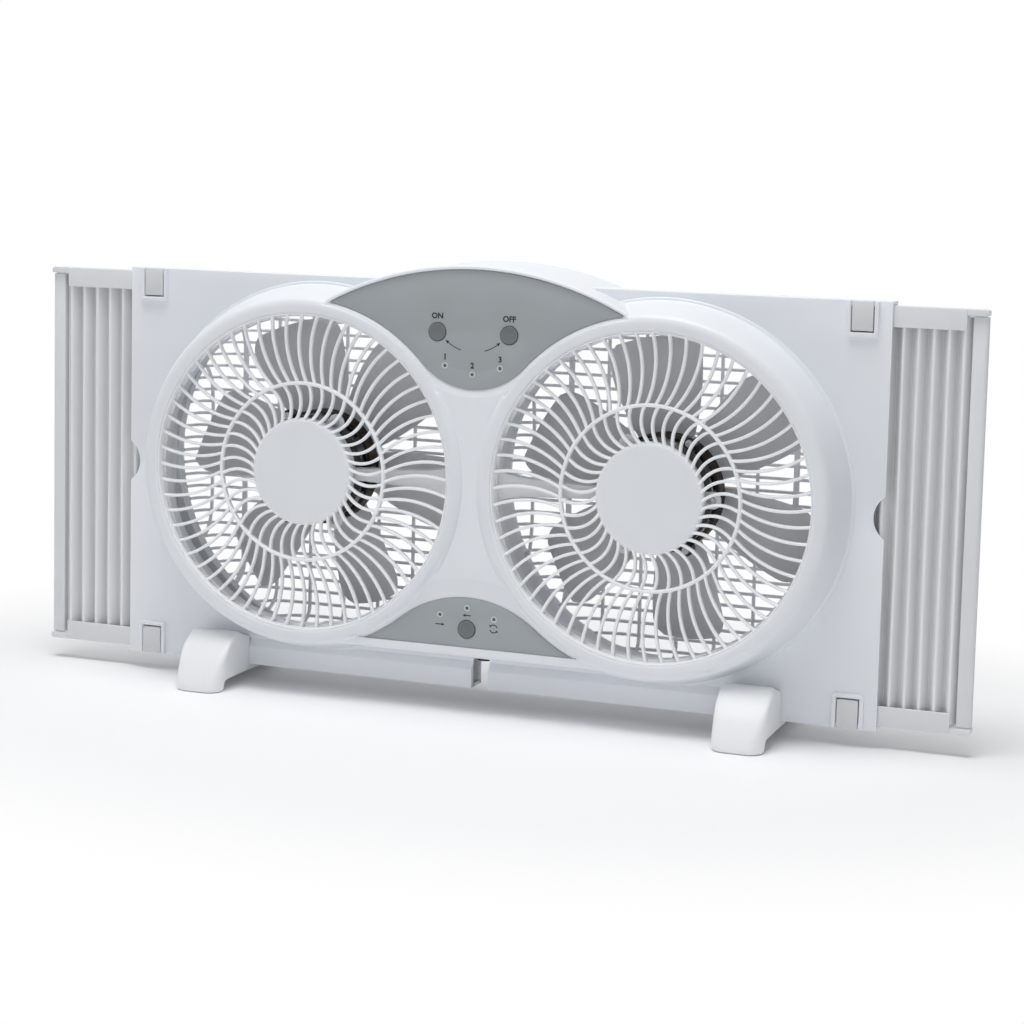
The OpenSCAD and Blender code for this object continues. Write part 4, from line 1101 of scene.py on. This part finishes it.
def carrier_outline(lugs):
    """A round plate with a lug for each screw, about the motor's axis."""
    outline = []
    for i in range(360):
        a = radians(i)
        r = 37.0
        for x, z in lugs:
            gap = abs(math.remainder(a - atan2(z, x), 2 * pi))
            along, off = LUG_REACH * cos(gap), LUG_REACH * sin(gap)
            if off < LUG_RADIUS:
                r = max(r, along + sqrt(LUG_RADIUS ** 2 - off ** 2))
        outline.append((r * cos(a), r * sin(a)))
    return outline


bracket_white = plastic("bracket_white", (0.8, 0.81, 0.82), rough=0.4)
motor_black = plastic("motor_black", (0.008, 0.008, 0.01), rough=0.18, depth=0.00001)
lamination_steel = metal("lamination_steel", (0.075, 0.06, 0.05), 0.42)
enamelled_copper = metal("enamelled_copper", (0.42, 0.17, 0.07), 0.35)
sintered_bronze = metal("sintered_bronze", (0.6, 0.4, 0.2), 0.5)
STACK_BACK, STACK_FRONT, LAMINATION = -6, 8, 0.5
WIRE_PITCH = 1.5
LUG_REACH, LUG_RADIUS = 42, 6.5
front_rows = [(26, 38, 0.6), (26, 38, 2.0), (26.3, 37.8, 3.4), (27, 37, 4.8), (28.4, 35.8, 6.1)]
rear_rows = [(27, 38, 0.6), (27, 38, 1.9), (28.2, 36.8, 3.2)]
arm = [(118.8, 12.5), (108, 9.0), (96, 7.0), (20, 3.6)]
arm = [(x, -z) for x, z in arm[::-1]] + arm
layers = [(23.6, STACK_BACK)]
for i in range(28):
    radius, level = 43 if i % 2 else 42.7, STACK_BACK + i * LAMINATION
    layers += [(radius, level), (radius, level + LAMINATION)]
layers += [(23.6, STACK_FRONT)]
for side_name, side in (("left", -1), ("right", 1)):
    cx = side * FAN_X
    stack = turned(layers, cx, FAN_RISE, forward, 120, True)
    name, node = f"laminated_stack_{side_name}", f"motor_stator_{side_name}"
    moulding(name, stack, lamination_steel, "laminations", node, crease=30)
    coils = joined(end_turns(cx, STACK_FRONT, 1, front_rows), end_turns(cx, STACK_BACK, -1, rear_rows))
    name, node = f"end_turns_{side_name}", f"motor_windings_{side_name}"
    moulding(name, coils, enamelled_copper, "winding", node, crease=60)
    lugs = [on_ring(LUG_REACH, (0 if side > 0 else 180) + i * 120) for i in range(3)]
    plate = [(cx + x, FAN_RISE + z) for x, z in carrier_outline(lugs)]
    holes = [circle_loop(cx + x, FAN_RISE + z, 1.7, 24) for x, z in lugs]
    carrier_plate = slab([plate] + holes, 23.55, 26.0, 0.4, forward)
    carrier_arm = slab([[(cx - side * x, FAN_RISE + z) for x, z in arm]], 23.6, 32.2, 1.6, forward)
    shape, node = joined(carrier_plate, carrier_arm), f"motor_bracket_{side_name}"
    moulding(f"carrier_{side_name}", shape, bracket_white, "bracket", node, crease=35)

# ---- Screws ----
# Zinc-plated pan-head screws with a cross recess: three bolts and three carrier screws in each
# motor, and ten long ones that hold the two halves of the housing together.
def screw(x, z, seat, head_radius, head_height, shank_radius, length, put):
    """One screw whose head sits at the given height and whose shank runs back from it."""
    top = seat + head_height
    arm, half = head_radius * 0.58, head_radius * 0.13
    quarter, cross = [(half, half), (arm, half), (arm, -half)], []
    for _ in range(4):
        cross += quarter
        quarter = [(v, -u) for u, v in quarter]
    profile = [(shank_radius, seat - length), (shank_radius, seat), (head_radius, seat)]
    fall = head_height * 0.5
    profile += rounded(head_radius, top - fall, head_height * 0.45, fall, (0, 30, 60))
    profile += [(head_radius * 0.82, top)]
    rings = [circle_loop(0, 0, radius, SCREW_SIDES) for radius, _ in profile]
    points = [put(x + u, z + v, level) for ring, (_, level) in zip(rings, profile) for u, v in ring]
    faces = bands(0, len(rings), SCREW_SIDES) + [list(range(SCREW_SIDES))]
    count, start = len(cross), len(points)
    points += [put(x + u, z + v, top) for u, v in cross]
    points += [put(x + u * 0.7, z + v * 0.7, top - head_height * 0.55) for u, v in cross]
    numbers = range(start - SCREW_SIDES, start + count)
    faces += numbered(filled([rings[-1], cross]), numbers) + band(start, start + count, count)
    faces += numbered(filled([cross]), range(start + count, start + 2 * count))
    return points, faces


zinc_plated_steel = metal("zinc_plated_steel", (0.62, 0.62, 0.63), 0.3)
SCREW_SIDES = 24
heads = []
for side in (-1, 1):
    for i in range(3):
        bolt = on_ring(44, (60 if side > 0 else 120) + i * 120)
        lug = on_ring(LUG_REACH, (0 if side > 0 else 180) + i * 120)
        heads.append(screw(side * FAN_X + bolt.x, FAN_RISE + bolt.y, 18.0, 2.9, 1.8, 1.6, 9.8, forward))
        heads.append(screw(side * FAN_X + lug.x, FAN_RISE + lug.y, 26.0, 3.0, 1.8, 1.55, 5.3, forward))
moulding("motor_screw_set", joined(*heads), zinc_plated_steel, "steel", "motor_screws", crease=35)
heads = [screw(x, z, 4.0, 2.9, 2.2, 1.45, 8.7, rearward) for x, z in screw_places + centre_wells]
moulding("housing_screw_set", joined(*heads), zinc_plated_steel, "steel", "shell_screws", crease=35)

# ---- Boards and inner parts ----
# What keeps its plain shape: two green circuit boards, their push switches, the capacitors and the
# black cord gland, and in each motor the bells, bushes, rotor, shaft and nut.
gland_black = plastic("gland_black", (0.02, 0.02, 0.022), rough=0.5)
board_green = plastic("board_green", (0.03, 0.16, 0.07), rough=0.35)
finishes = {
    "housing": housing_white, "grille": grille_white_painted_highlight, "feet": foot_white, "blade": blade_grey,
    "overlay": panel_grey, "button": button_grey, "lens": lens_smoke, "tab": tab_grey,
    "extender": extender_grey, "curtain": curtain_grey, "bracket": bracket_white,
    "motor_case": motor_black, "board": board_green, "black_plastic": gland_black,
    "laminations": lamination_steel, "winding": enamelled_copper, "steel": zinc_plated_steel,
    "bronze": sintered_bronze,
}
for part in frame["record"]["subparts"]:
    mesh = nodes[part["node"]].data
    mesh.materials.clear()
    mesh.materials.append(finishes[part["material_slot"]])
